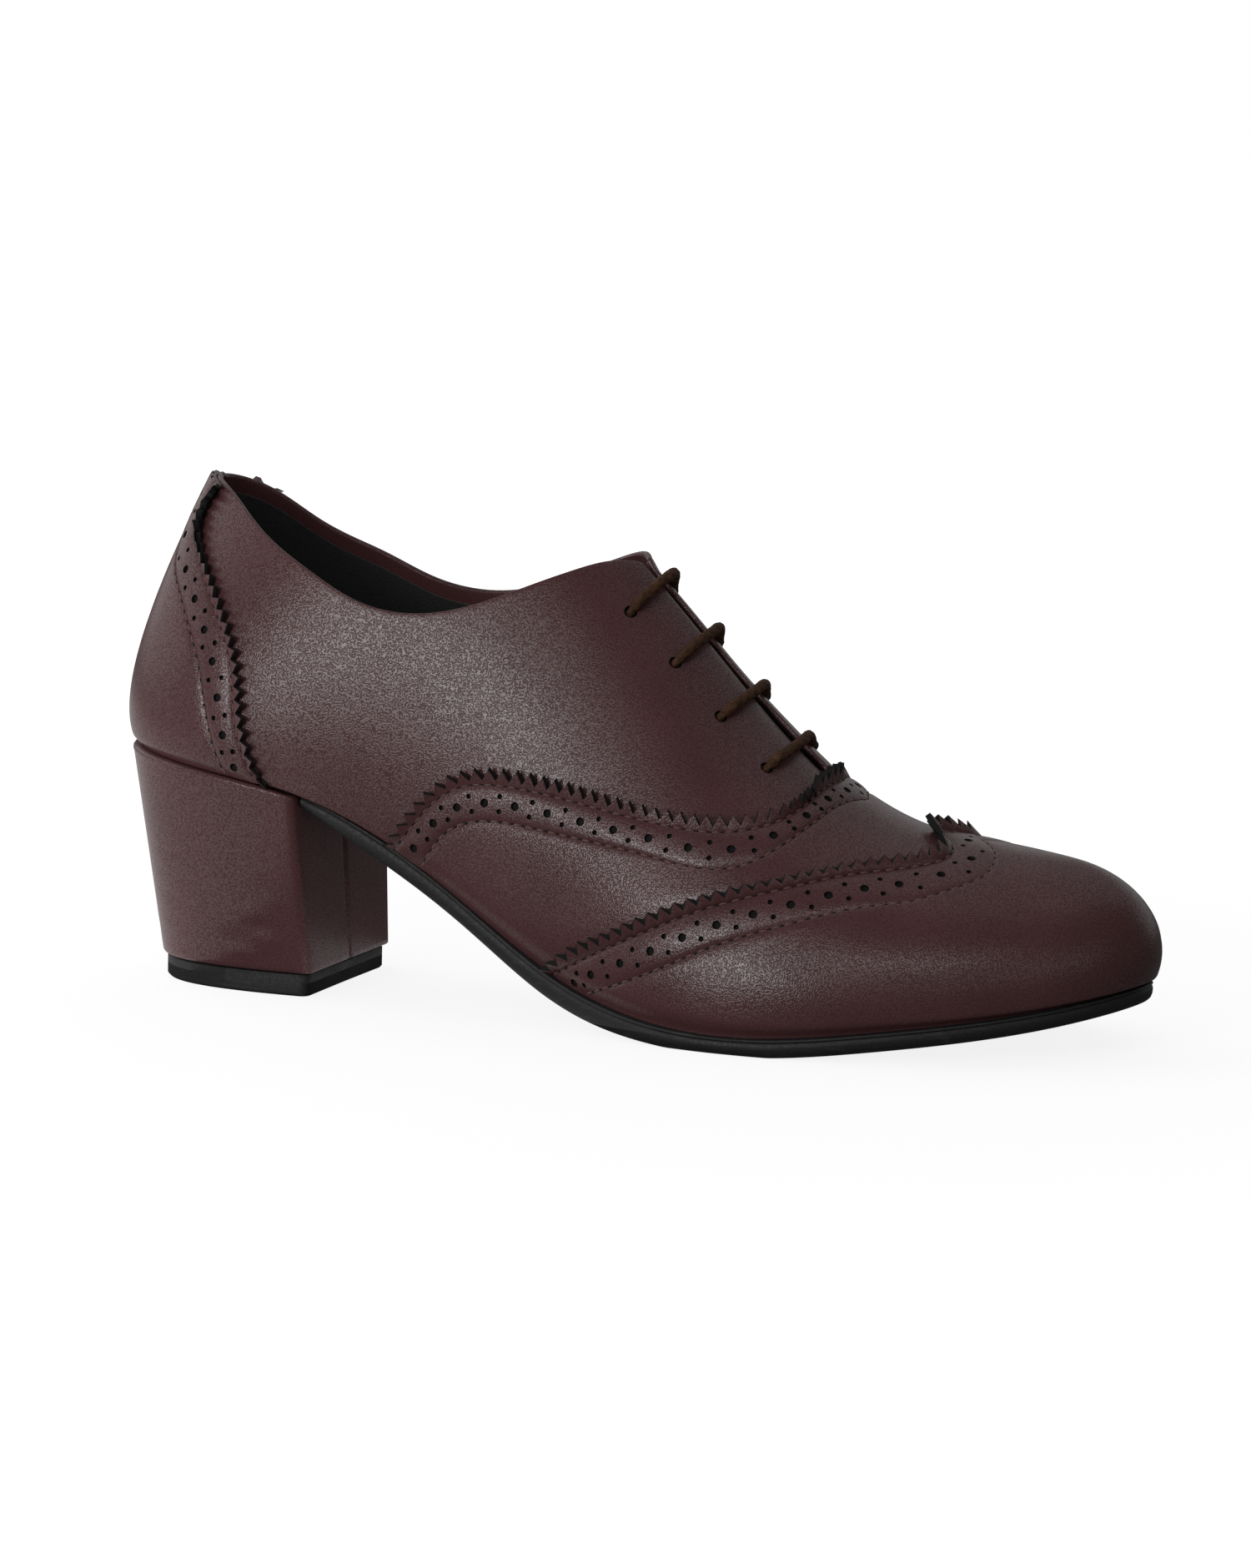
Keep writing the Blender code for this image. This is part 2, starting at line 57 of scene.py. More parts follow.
# Driving sizes of the last, in metres
LAST_LENGTH = 0.236
BALL_WIDTH = 0.078
INSTEP = 0.110
HEEL_HEIGHT = 0.054
CREST_SIDE = 0.001
HEEL_REACH = 0.11785
SIDE_SHIFT = 0.0017
THROAT_START = 0.45
THROAT_END = 0.682
THROAT_HALF_GAP = 0.0015
MEDIAL_HALF_GAP = 0.0003
EYELET_HEIGHT = 0.757
EYELET_FIRST = 0.506
EYELET_STEP = 0.0453
EYELET_COUNT = 4

PERCENT = 0.01
LATERAL = -1
MEDIAL = 1
SIDES = (LATERAL, MEDIAL)
GRID_HALF = 0.5
WELD = 0.00001
PROBE = 0.002
CREST_SHARE = 0.999
HALVINGS = 24
SHARP = np.radians(38)
SOFT_ANGLE = np.radians(50)
UP = np.array((0.0, 0.0, 1.0))

# Percent: along of LAST_LENGTH, sides, flares and crowns of BALL_WIDTH,
# seat of HEEL_HEIGHT, crest and rise of INSTEP
Section = namedtuple(
    "Section",
    "name along lateral medial seat crest_along crest "
    "flare_lateral flare_medial rise crown_lateral crown_medial",
)
SECTIONS = (
    Section("heel_back", 0.0, 0.0, 0.0, 100.0, 13.1, 129.1, 15.4, 15.4, 14.1, 0.0, 0.0),
    Section("heel_curve", 3.2, 22.6, 22.1, 98.5, 13.6, 129.1, 11.5, 11.5, 15.0, 2.6, 2.6),
    Section("heel_side", 11.4, 33.3, 32.1, 93.5, 16.1, 129.1, 7.1, 7.1, 18.2, 10.3, 10.3),
    Section("heel_breast", 21.6, 34.6, 32.4, 84.3, 23.3, 127.3, 5.8, 6.4, 23.6, 20.5, 19.2),
    Section("waist", 34.3, 34.0, 26.3, 56.5, 35.2, 117.3, 7.1, 10.3, 29.1, 24.4, 21.8),
    Section("shank", 46.2, 39.7, 28.2, 25.0, 46.2, 100.0, 7.7, 11.5, 32.7, 20.5, 17.9),
    Section("ball_back", 57.2, 49.4, 37.8, 10.0, 56.4, 78.0, 5.1, 7.7, 29.1, 21.8, 17.9),
    Section("ball", 68.2, 53.2, 46.8, 7.6, 66.5, 55.4, 4.5, 5.1, 21.8, 28.2, 21.8),
    Section("joint_front", 79.2, 47.4, 48.1, 12.6, 75.8, 42.2, 5.1, 5.1, 17.3, 29.5, 25.6),
    Section("toe_side", 89.4, 35.0, 38.1, 18.9, 84.3, 38.2, 6.4, 6.4, 13.6, 25.6, 25.6),
    Section("toe_corner", 96.8, 17.9, 22.4, 25.2, 90.0, 36.7, 6.7, 6.7, 10.9, 20.2, 20.2),
    Section("toe_tip", 99.9, -2.6, 2.6, 28.5, 91.9, 36.2, 6.9, 6.9, 10.2, 18.4, 18.4),
)

# Collar line from the side, percent of LAST_LENGTH and of INSTEP
CollarRow = namedtuple("CollarRow", "along lateral medial")
COLLAR = (
    CollarRow(3.0, 107.8, 107.8),
    CollarRow(5.3, 106.0, 105.8),
    CollarRow(10.2, 102.1, 100.7),
    CollarRow(14.0, 95.9, 94.6),
    CollarRow(20.3, 87.7, 88.2),
    CollarRow(25.0, 82.7, 83.8),
    CollarRow(29.9, 80.5, 81.6),
    CollarRow(36.4, 82.5, 82.9),
    CollarRow(42.1, 87.3, 87.3),
    CollarRow(45.8, 90.5, 90.5),
    CollarRow(48.3, 92.0, 92.0),
    CollarRow(50.4, 91.4, 91.4),
    CollarRow(52.1, 89.1, 89.1),
    CollarRow(53.4, 86.4, 86.4),
)

# First line of stitches of each panel from the sole upwards, percent of the height share and of the
# station, with the widths of the pinked margin outside it and of the punched band inside it, metres,
# and the lean of the cut across them, degrees
SeamRow = namedtuple("SeamRow", "height station margin band lean", defaults=(0,))
VAMP_SEAM = (
    SeamRow(0.0, 31.8, 0.0024, 0.0074),
    SeamRow(12.0, 34.5, 0.0027, 0.0067),
    SeamRow(21.0, 37.6, 0.0031, 0.0079),
    SeamRow(28.0, 42.8, 0.0035, 0.0078),
    SeamRow(34.0, 49.8, 0.0033, 0.0074),
    SeamRow(41.0, 57.2, 0.0030, 0.0074),
    SeamRow(52.0, 63.4, 0.0034, 0.0080),
    SeamRow(67.0, 67.1, 0.0027, 0.0046),
    SeamRow(84.0, 68.7, 0.0032, 0.0052),
    SeamRow(100.0, 69.8, 0.0038, 0.0072),
)
WING_SEAM = (
    SeamRow(0.0, 47.0, 0.0032, 0.0103),
    SeamRow(6.5, 50.0, 0.0038, 0.0072),
    SeamRow(12.0, 52.8, 0.0034, 0.0081),
    SeamRow(20.0, 57.0, 0.0035, 0.0086),
    SeamRow(30.0, 61.7, 0.0030, 0.0084),
    SeamRow(44.0, 67.9, 0.0026, 0.0082),
    SeamRow(60.0, 74.4, 0.0028, 0.0091),
    SeamRow(71.0, 79.4, 0.0035, 0.0094),
    SeamRow(76.0, 80.9, 0.0039, 0.0099, 6),
    SeamRow(82.0, 81.7, 0.0043, 0.0108, 30),
    SeamRow(91.0, 81.3, 0.0046, 0.0115, 10),
    SeamRow(100.0, 80.2, 0.0042, 0.0103),
)
COUNTER_SEAM = (
    SeamRow(0.0, 19.5, 0.0022, 0.0079),
    SeamRow(13.0, 17.6, 0.0026, 0.0066),
    SeamRow(25.0, 16.6, 0.0026, 0.0080),
    SeamRow(35.0, 14.2, 0.0026, 0.0080),
    SeamRow(43.0, 10.7, 0.0025, 0.0080),
    SeamRow(48.0, 7.9, 0.0026, 0.0084),
    SeamRow(52.6, 6.4, 0.0031, 0.0084),
    SeamRow(58.4, 7.5, 0.0053, 0.0096, -8),
)

# Edge of the outsole past the feather line and its thickness, metres
SoleRow = namedtuple("SoleRow", "along margin thickness")
SOLE = (
    SoleRow(20.0, -0.0015, 0.0024),
    SoleRow(24.0, -0.0004, 0.0042),
    SoleRow(30.0, 0.0005, 0.0052),
    SoleRow(38.0, 0.0012, 0.0052),
    SoleRow(46.0, 0.0018, 0.0056),
    SoleRow(52.0, 0.0020, 0.0052),
    SoleRow(58.0, 0.0022, 0.0044),
    SoleRow(70.0, 0.0024, 0.0040),
    SoleRow(90.0, 0.0020, 0.0040),
    SoleRow(100.0, 0.0016, 0.0040),
)

# Profile of the sole's edge, from the feather line down: metres in from the margin, share of thickness
EdgeRow = namedtuple("EdgeRow", "inset drop")
SOLE_EDGE = (
    EdgeRow(0.0020, 0.00),
    EdgeRow(0.0007, 0.00),
    EdgeRow(0.0002, 0.05),
    EdgeRow(0.0000, 0.14),
    EdgeRow(0.0003, 0.22),
    EdgeRow(0.0001, 0.30),
    EdgeRow(0.0000, 0.45),
    EdgeRow(0.0001, 0.66),
    EdgeRow(0.0004, 0.84),
    EdgeRow(0.0009, 0.95),
    EdgeRow(0.0016, 1.00),
)


class SmoothCurve:
    """Cubic curve through rows of values at knots, closed in a loop where a period is given."""

    def __init__(self, knots, values, period=None):
        self.knots = np.array(knots, float)
        self.values = np.array(values, float)
        self.period = period
        if period:
            self.knots = np.append(self.knots, self.knots[0] + period)
            self.values = np.vstack((self.values, self.values[:1]))
        self.bends = self.solve_bends()

    def solve_bends(self):
        """Second slopes at the knots, free at open ends and continuous round a loop."""
        spans = np.diff(self.knots)
        slopes = np.diff(self.values, axis=0) / spans[:, None]
        matrix = np.eye(len(self.knots))
        target = np.zeros_like(self.values)
        for i in range(1, len(spans)):
            matrix[i, i - 1:i + 2] = (spans[i - 1], 2 * (spans[i - 1] + spans[i]), spans[i])
            target[i] = 6 * (slopes[i] - slopes[i - 1])
        if self.period:
            matrix[0, 0] = 2 * (spans[-1] + spans[0])
            matrix[0, 1] = spans[0]
            matrix[0, -2] = spans[-1]
            target[0] = 6 * (slopes[0] - slopes[-1])
            matrix[-1, 0] = -1
        return np.linalg.solve(matrix, target)

    def at(self, places):
        """Rows of the curve at places on its knots."""
        places = np.atleast_1d(np.asarray(places, float))
        if self.period:
            places = (places - self.knots[0]) % self.period + self.knots[0]
        i = np.clip(np.searchsorted(self.knots, places, "right") - 1, 0, len(self.knots) - 2)
        span = (self.knots[i + 1] - self.knots[i])[:, None]
        after = (places - self.knots[i])[:, None] / span
        before = 1 - after
        straight = before * self.values[i] + after * self.values[i + 1]
        bend = (before**3 - before) * self.bends[i] + (after**3 - after) * self.bends[i + 1]
        return straight + bend * span**2 / 6


Station = namedtuple("Station", "x side seat crest_x crest flare rise crown")


def along_x(along):
    """Place along the shoe of a percentage of the last."""
    return along * PERCENT * LAST_LENGTH - HEEL_REACH


def section_station(section, side):
    """One side of a section, in metres."""
    if side == LATERAL:
        across = -section.lateral
        flare = section.flare_lateral
        crown = section.crown_lateral
    else:
        across = section.medial
        flare = section.flare_medial
        crown = section.crown_medial
    return Station(
        x=along_x(section.along),
        side=across * PERCENT * BALL_WIDTH + SIDE_SHIFT,
        seat=section.seat * PERCENT * HEEL_HEIGHT,
        crest_x=along_x(section.crest_along),
        crest=section.crest * PERCENT * INSTEP,
        flare=flare * PERCENT * BALL_WIDTH,
        rise=section.rise * PERCENT * INSTEP,
        crown=crown * PERCENT * BALL_WIDTH,
    )


def last_loop():
    """Closed curve of the sections: lateral toe to heel, then heel to medial toe."""
    x = np.array([section.along for section in SECTIONS]) * LAST_LENGTH
    half = np.array([section.lateral + section.medial for section in SECTIONS]) * BALL_WIDTH / 2
    way = np.append(0, np.cumsum(np.hypot(np.diff(x), np.diff(half))))
    knots = way / way[-1]
    lateral = [section_station(section, LATERAL) for section in SECTIONS]
    medial = [section_station(section, MEDIAL) for section in SECTIONS]
    return SmoothCurve(
        np.concatenate((-knots[:0:-1], knots[:-1])),
        lateral[:0:-1] + medial[:-1],
        period=2,
    )


LOOP = last_loop()
COLLAR_CURVE = SmoothCurve([row.along for row in COLLAR], [(row.lateral, row.medial) for row in COLLAR])
SOLE_CURVE = SmoothCurve([row.along for row in SOLE], [(row.margin, row.thickness) for row in SOLE])
CREST_X = np.array([along_x(section.crest_along) for section in SECTIONS])
CREST_Z = np.array([section.crest for section in SECTIONS]) * PERCENT * INSTEP


def station(places):
    """Sections of the last at stations."""
    return Station(*LOOP.at(places).T)


def crest_slope(x):
    """Rise of the crest line for each metre along the shoe."""
    return np.interp(x, (CREST_X[1:] + CREST_X[:-1]) / 2, np.diff(CREST_Z) / np.diff(CREST_X))


def unit(vectors):
    """Vectors of length one."""
    return vectors / np.linalg.norm(vectors, axis=-1, keepdims=True)


def wall(places, heights):
    """Points on the outside of the quarters, on bent lines from the feather line to the crest."""
    row = station(places)
    foot = np.stack((row.x, row.side, row.seat), -1)
    crest = np.stack((row.crest_x, np.full_like(row.x, CREST_SIDE + SIDE_SHIFT), row.crest), -1)
    away = unit((foot - crest) * (1, 1, 0))
    low = foot + away * row.flare[:, None] + UP * row.rise[:, None]
    tilt = crest_slope(row.crest_x) * away[:, 0]
    high = crest + (away + UP * tilt[:, None]) * row.crown[:, None]
    up = np.broadcast_to(heights, row.x.shape)[:, None]
    rest = 1 - up
    return foot * rest**3 + low * (3 * up * rest**2) + high * (3 * up**2 * rest) + crest * up**3


def outward(places, heights):
    """Directions straight out of the quarters."""
    along = wall(places + PROBE, heights) - wall(places - PROBE, heights)
    upward = wall(places, heights + PROBE) - wall(places, heights - PROBE)
    slope = crest_slope(station(places).crest_x)
    at_crest = np.stack((-slope, np.zeros_like(slope), np.ones_like(slope)), -1)
    return unit(np.where((heights > CREST_SHARE)[:, None], at_crest, np.cross(upward, along)))


def lifted(places, heights, lifts):
    """Points at distances out from the quarters."""
    places = np.atleast_1d(np.asarray(places, float))
    heights = np.broadcast_to(np.asarray(heights, float), places.shape)
    lifts = np.broadcast_to(np.asarray(lifts, float), places.shape)
    return wall(places, heights) + outward(places, heights) * lifts[:, None]


def collar_heights(places, x):
    """Heights of the collar line above places along the shoe."""
    along = (x + HEEL_REACH) / LAST_LENGTH / PERCENT
    lateral, medial = COLLAR_CURVE.at(along).T * PERCENT * INSTEP
    line = np.where(places < 0, lateral, medial)
    return np.where(along > COLLAR[-1].along, 2 * INSTEP, line)


def top_share(places):
    """Height shares at which the wall stops, at the collar, the throat or the crest."""
    low = np.zeros_like(places)
    high = np.ones_like(places)
    for _ in range(HALVINGS):
        middle = (low + high) / 2
        points = wall(places, middle)
        over = points[:, 2] > collar_heights(places, points[:, 0])
        high = np.where(over, middle, high)
        low = np.where(over, low, middle)
    slit = (np.abs(places) > THROAT_START) & (np.abs(places) < THROAT_END)
    half = np.where(places > 0, MEDIAL_HALF_GAP, THROAT_HALF_GAP)
    edge = 1 - half / (3 * np.maximum(station(places).crown, THROAT_HALF_GAP))
    return np.where(slit, np.minimum(high, edge), high)


def height_step(places, heights, distance):
    """Height shares that a distance up the wall takes."""
    rise = wall(places, heights) - wall(places, heights - PROBE)
    return distance * PROBE / np.linalg.norm(rise, axis=-1)


def smoothstep(low, high, values):
    """Smooth change from 0 to 1 between two values."""
    share = np.clip((values - low) / (high - low), 0, 1)
    return share * share * (3 - 2 * share)


def mix(first, last, share):
    """Value part of the way from one value to another."""
    return first + (last - first) * share


def way_along(points):
    """Distance travelled at each of a row of points."""
    return np.append(0, np.cumsum(np.linalg.norm(np.diff(points, axis=0), axis=1)))


# Finish of the materials

PAPER_FADE = (0.15, 0.55)
PAPER_GLOW = (0.86, 1.0)
NOISE_RANGE = (0.3, 0.7)
WHOLE = (0.0, 1.0)
LEATHER_IOR = 1.75
CREASE_GLOSS = 0.25
CLOUD_SIZE = 0.016
WAVE_SCALE = 1 / np.pi
SCRATCH_SCALE = (90.0, 600.0, 1600.0)


class NodeKit:
    """Node tree of one material, with nodes added and linked by the names of their sockets."""

    def __init__(self, name):
        self.material = bpy.data.materials.new(name)
        self.material.use_nodes = True
        self.tree = self.material.node_tree
        self.shader = self.tree.nodes["Principled BSDF"]

    def add(self, kind, sockets, **settings):
        """New node with its settings, and its sockets set or linked."""
        node = self.tree.nodes.new(kind)
        for key, value in settings.items():
            setattr(node, key, value)
        self.fill(node, sockets)
        return node

    def fill(self, node, sockets):
        """Set or link sockets of a node."""
        for key, value in sockets.items():
            if isinstance(value, bpy.types.NodeSocket):
                self.tree.links.new(value, node.inputs[key])
            else:
                node.inputs[key].default_value = value

    def surface(self, **sockets):
        """Set or link the shader's own sockets."""
        self.fill(self.shader, {key.replace("_", " "): value for key, value in sockets.items()})
        return self.material

    def object_place(self):
        """Coordinates that stay with the part."""
        return self.add("ShaderNodeTexCoord", {}).outputs["Object"]

    def noise(self, place, size, detail=2.0):
        """Soft cloudy values with a feature size in metres."""
        node = self.add("ShaderNodeTexNoise", {"Vector": place, "Scale": 1 / size, "Detail": detail})
        return node.outputs["Fac"]

    def spread(self, value, source, target):
        """Value carried smoothly from one range to another."""
        sockets = {
            "Value": value,
            "From Min": source[0],
            "From Max": source[1],
            "To Min": target[0],
            "To Max": target[1],
        }
        node = self.add("ShaderNodeMapRange", sockets, interpolation_type="SMOOTHSTEP")
        return node.outputs["Result"]

    def sum(self, first, second, share):
        """First value plus a share of the second."""
        node = self.add("ShaderNodeMath", {0: second, 1: share, 2: first}, operation="MULTIPLY_ADD")
        return node.outputs["Value"]

    def blend(self, factor, first, second):
        """Colour between two colours."""
        node = self.add("ShaderNodeMix", {"Factor": factor}, data_type="RGBA")
        for socket, value in ((node.inputs[6], first), (node.inputs[7], second)):
            if isinstance(value, bpy.types.NodeSocket):
                self.tree.links.new(value, socket)
            else:
                socket.default_value = value
        return node.outputs[2]

    def bump(self, height, depth):
        """Relief of a depth in metres."""
        node = self.add("ShaderNodeBump", {"Height": height, "Strength": 1.0, "Distance": depth})
        return node.outputs["Normal"]

    def pebbles(self, place, size):
        """Rounded grain of an even size with creases between."""
        return self.spread(self.noise(place, size, 0.0), NOISE_RANGE, WHOLE)


def opaque(colour):
    """Colour with full alpha."""
    return (*colour, 1.0)


def darker(colour, share):
    """Colour with a share of its light."""
    return (*(channel * share for channel in colour), 1.0)


def leather_finish(name, colour, look):
    """Pebbled burgundy leather with a soft sheen, and painted shade darkening its creases."""
    kit = NodeKit(name)
    place = kit.object_place()
    grain = kit.pebbles(place, look.grain_size)
    cloud = kit.noise(place, CLOUD_SIZE, 0.0)
    tone = kit.blend(kit.spread(cloud, NOISE_RANGE, WHOLE), darker(colour, 0.95), darker(colour, 1.05))
    # Painted shade: the base colour darkens in the creases between pebbles.
    base = kit.blend(kit.spread(grain, (0.0, 0.5), (0.15, 0.0)), tone, darker(colour, 0.45))
    return kit.surface(
        Base_Color=base,
        Roughness=kit.spread(cloud, NOISE_RANGE, (look.roughness - 0.01, look.roughness + 0.01)),
        Normal=kit.bump(grain, look.grain_depth),
        Specular_IOR_Level=kit.spread(grain, (0.1, 0.9), (CREASE_GLOSS * look.gloss, look.gloss)),
        IOR=LEATHER_IOR,
    )


def raw_and_shade_finish(trim):
    """Black fibrous cut edge and back of the leather, also used as painted shade in the needle holes and in
    the fold under the pinked teeth.
    """
    kit = NodeKit("raw_cut_and_painted_shade")
    place = kit.object_place()
    fibre = kit.noise(place, 0.00035, 3.0)
    base = kit.blend(fibre, darker(trim.raw_and_shade_colour, 0.5), darker(trim.raw_and_shade_colour, 1.8))
    return kit.surface(Base_Color=base, Roughness=0.85, Normal=kit.bump(fibre, 0.00012))


def thread_finish(trim):
    """Matt burgundy thread with a twist."""
    kit = NodeKit("stitch_thread")
    place = kit.object_place()
    twist = kit.noise(place, 0.0004, 2.0)
    base = kit.blend(twist, darker(trim.thread_colour, 0.6), darker(trim.thread_colour, 1.35))
    return kit.surface(Base_Color=base, Roughness=0.55, Normal=kit.bump(twist, 0.00006))


def cloth_finish(name, colour, rib):
    """Black lining cloth with fine ribs along the shoe, read from its own map."""
    kit = NodeKit(name)
    chart = kit.add("ShaderNodeUVMap", {}, uv_map="chart").outputs["UV"]
    place = kit.object_place()
    ribs = kit.add(
        "ShaderNodeTexWave",
        {"Vector": chart, "Scale": WAVE_SCALE / rib, "Distortion": 0.6, "Detail": 1.0},
        wave_type="BANDS",
        bands_direction="Y",
    ).outputs["Fac"]
    fuzz = kit.noise(place, 0.0005, 3.0)
    base = kit.blend(kit.spread(ribs, (0.2, 0.9), WHOLE), darker(colour, 0.5), darker(colour, 1.5))
    return kit.surface(
        Base_Color=base,
        Roughness=0.9,
        Sheen_Weight=0.3,
        Sheen_Roughness=0.5,
        Normal=kit.bump(kit.sum(ribs, fuzz, 0.7), 0.00015),
    )


def rubber_finish(name, colour, roughness, speck):
    """Black sole rubber with fine scratches and paler worn specks."""
    kit = NodeKit(name)
    place = kit.object_place()
    skin = kit.noise(place, 0.0006, 3.0)
    streak = kit.add("ShaderNodeMapping", {"Vector": place, "Scale": SCRATCH_SCALE})
    scratch = kit.add("ShaderNodeTexNoise", {"Vector": streak.outputs[0], "Scale": 1.0, "Detail": 4.0})
    worn = kit.spread(scratch.outputs["Fac"], (0.56, 0.78), (0.0, speck))
    base = kit.blend(worn, opaque(colour), darker(colour, 4.5))
    return kit.surface(
        Base_Color=base,
        Roughness=kit.spread(skin, NOISE_RANGE, (roughness - 0.06, roughness + 0.08)),
        Normal=kit.bump(kit.sum(skin, scratch.outputs["Fac"], 0.8), 0.00006),
    )


def cord_finish(lace):
    """Waxed brown braid, darker between its strands."""
    kit = NodeKit("waxed_braid")
    place = kit.object_place()
    fibre = kit.noise(place, 0.0003, 3.0)
    patch = kit.noise(place, 0.0022, 2.0)
    strand = kit.spread(fibre, NOISE_RANGE, WHOLE)
    base = kit.blend(strand, darker(lace.colour, 0.55), darker(lace.colour, 1.3))
    tinted = kit.blend(kit.spread(patch, (0.45, 0.7), (0.0, 0.5)), base, darker(lace.colour, 1.9))
    return kit.surface(
        Base_Color=tinted,
        Roughness=0.62,
        Specular_IOR_Level=0.2,
        Normal=kit.bump(fibre, 0.00012),
    )


def paper_finish(colour):
    """Pale studio paper with a faint tooth, which glows as painted light, more weakly near the shoe so its
    cast shadow shows.
    """
    kit = NodeKit("studio_paper")
    place = kit.object_place()
    base = kit.blend(kit.noise(place, 0.004, 2.0), darker(colour, 0.30), darker(colour, 0.32))
    far = kit.add("ShaderNodeVectorMath", {0: place}, operation="LENGTH").outputs["Value"]
    return kit.surface(
        Base_Color=base,
        Roughness=0.95,
        # Painted light: the paper glows, fading to a weaker glow near the shoe.
        Emission_Color=opaque(colour),
        Emission_Strength=kit.spread(far, PAPER_FADE, PAPER_GLOW),
    )


# Shared making of pieces


def mapped_grid(shape, columns, rows, point_of):
    """Grid whose shares across and up, each 0 to 1, are moved to points of a surface."""
    made = bmesh.ops.create_grid(shape, x_segments=columns, y_segments=rows, size=GRID_HALF)["verts"]
    flat = np.array([vert.co for vert in made]) + GRID_HALF
    for vert, point in zip(made, point_of(flat[:, 0], flat[:, 1])):
        vert.co = point
    return made, flat


def chart_faces(shape, verts, chart):
    """Map of a grid's faces, in metres."""
    layer = shape.loops.layers.uv.get("chart") or shape.loops.layers.uv.new("chart")
    place = dict(zip(verts, chart))
    for face in {face for vert in verts for face in vert.link_faces}:
        for loop in face.loops:
            loop[layer].uv = place[loop.vert]


def add_piece(name, shape, materials, nodes=()):
    """Object of a finished shape, riding on the shoe's one body."""
    mesh = bpy.data.meshes.new(name)
    shape.to_mesh(mesh)
    shape.free()
    for material in materials:
        mesh.materials.append(material)
    item = bpy.data.objects.new(name, mesh)
    bpy.context.scene.collection.objects.link(item)
    settle(item)
    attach(item, "root")
    if nodes:
        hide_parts(*nodes)
    return item


def settle(item):
    """Smooth shading with sharp corners."""
    item.data.shade_smooth()
    item.data.set_sharp_from_angle(angle=SHARP)


def apply_modifiers(item):
    """Make the modifiers part of the mesh."""
    graph = bpy.context.evaluated_depsgraph_get()
    mesh = bpy.data.meshes.new_from_object(item.evaluated_get(graph))
    plain = item.data
    item.modifiers.clear()
    item.data = mesh
    bpy.data.meshes.remove(plain)
    settle(item)


def thicken(item, thickness, back=1, rim=1):
    """Give a surface its thickness on the inside, with materials for its back and its rim."""
    shell = item.modifiers.new("thickness", "SOLIDIFY")
    shell.thickness = thickness
    shell.offset = -1
    shell.material_offset = back
    shell.material_offset_rim = rim


def soften_edges(item, width):
    """Round the edges of a leather's rim."""
    bevel = item.modifiers.new("soft_edge", "BEVEL")
    bevel.width = width
    bevel.segments = 3
    bevel.profile = 0.5
    bevel.limit_method = "ANGLE"
    bevel.angle_limit = SOFT_ANGLE
    bevel.material = -1


def punch(item, pins):
    """Cut holes with a bundle of pins, which leave their own material in the holes."""
    mesh = bpy.data.meshes.new("pins")
    pins.to_mesh(mesh)
    pins.free()
    for material in item.data.materials:
        mesh.materials.append(material)
    tool = bpy.data.objects.new("pins", mesh)
    bpy.context.scene.collection.objects.link(tool)
    cut = item.modifiers.new("holes", "BOOLEAN")
    cut.object = tool
    cut.operation = "DIFFERENCE"
    cut.solver = "MANIFOLD"
    apply_modifiers(item)
    bpy.data.objects.remove(tool)
    bpy.data.meshes.remove(mesh)


def stand_on(points, directions):
    """Matrices whose Z runs along directions from points."""
    placed = []
    for point, direction in zip(points, directions):
        turn = Vector(direction).to_track_quat("Z", "Y").to_matrix().to_4x4()
        turn.translation = point
        placed.append(turn)
    return placed


def add_pin(pins, matrix, radius, low, high, sides):
    """Pin along Z from a low to a high distance, in the material of holes."""
    middle = matrix @ Matrix.Translation((0, 0, (low + high) / 2))
    made = bmesh.ops.create_cone(
        pins,
        cap_ends=True,
        segments=sides,
        radius1=radius,
        radius2=radius,
        depth=high - low,
        matrix=middle,
    )
    for face in {face for vert in made["verts"] for face in vert.link_faces}:
        face.material_index = 1


def add_loft(name, rings, materials, nodes):
    """Closed body through rings of points, capped where its ends are open."""
    shape = bmesh.new()
    stack = np.array(rings)
    length = len(stack) - 1
    turn = stack.shape[1]

    def point_of(across, up):
        ring = np.rint(across * length).astype(int)
        return stack[ring, np.rint(up * turn).astype(int) % turn]

    mapped_grid(shape, length, turn, point_of)
    bmesh.ops.remove_doubles(shape, verts=shape.verts, dist=WELD)
    bmesh.ops.holes_fill(shape, edges=shape.edges)
    bmesh.ops.recalc_face_normals(shape, faces=shape.faces)
    return add_piece(name, shape, materials, nodes)


def add_halves(shape, columns, rows, point_of, turned):
    """Lateral and medial halves of a skin, facing outwards and joined where they meet."""
    for side in SIDES:
        made, flat = mapped_grid(shape, columns, rows, lambda across, up: point_of(side, across, up))
        chart_faces(shape, made, flat[:, :2] * CHART_SIZE)
        if side == turned:
            faces = {face for vert in made for face in vert.link_faces}
            bmesh.ops.reverse_faces(shape, faces=list(faces))
    bmesh.ops.remove_doubles(shape, verts=shape.verts, dist=WELD)


# Quarters and what lines them

CHART_SIZE = (0.26, 0.09)
QUARTER_ROWS = 44
QUARTER_BREAKS = (0.0, 0.06, 0.44, 0.53, 0.676, 0.688, 1.0)
QUARTER_STEPS = (14, 54, 22, 26, 6, 36)
QUARTER_THICKNESS = 0.0011
FACING_PUFF = 0.0022
FACING_PUFF_PLACE = 0.486
FACING_PUFF_WIDTH = 0.020
FACING_EASE = 0.0005
FACING_EASE_FOOT = 0.0013
FACING_FOOT_STATIONS = (0.58, 0.65)
FACING_TOP_STATIONS = (0.46, 0.50)
FACING_END_STATIONS = (0.672, 0.70)
FACING_HEIGHTS = (0.70, 0.97)
QUARTER_EDGE = 0.00035
EYELET_RADIUS = 0.0015
EYELET_PIN = 0.004
EYELET_SIDES = 20
LINING_LIFT = -0.00118
LINING_THICKNESS = 0.0006
LINING_DROP = 0.0038
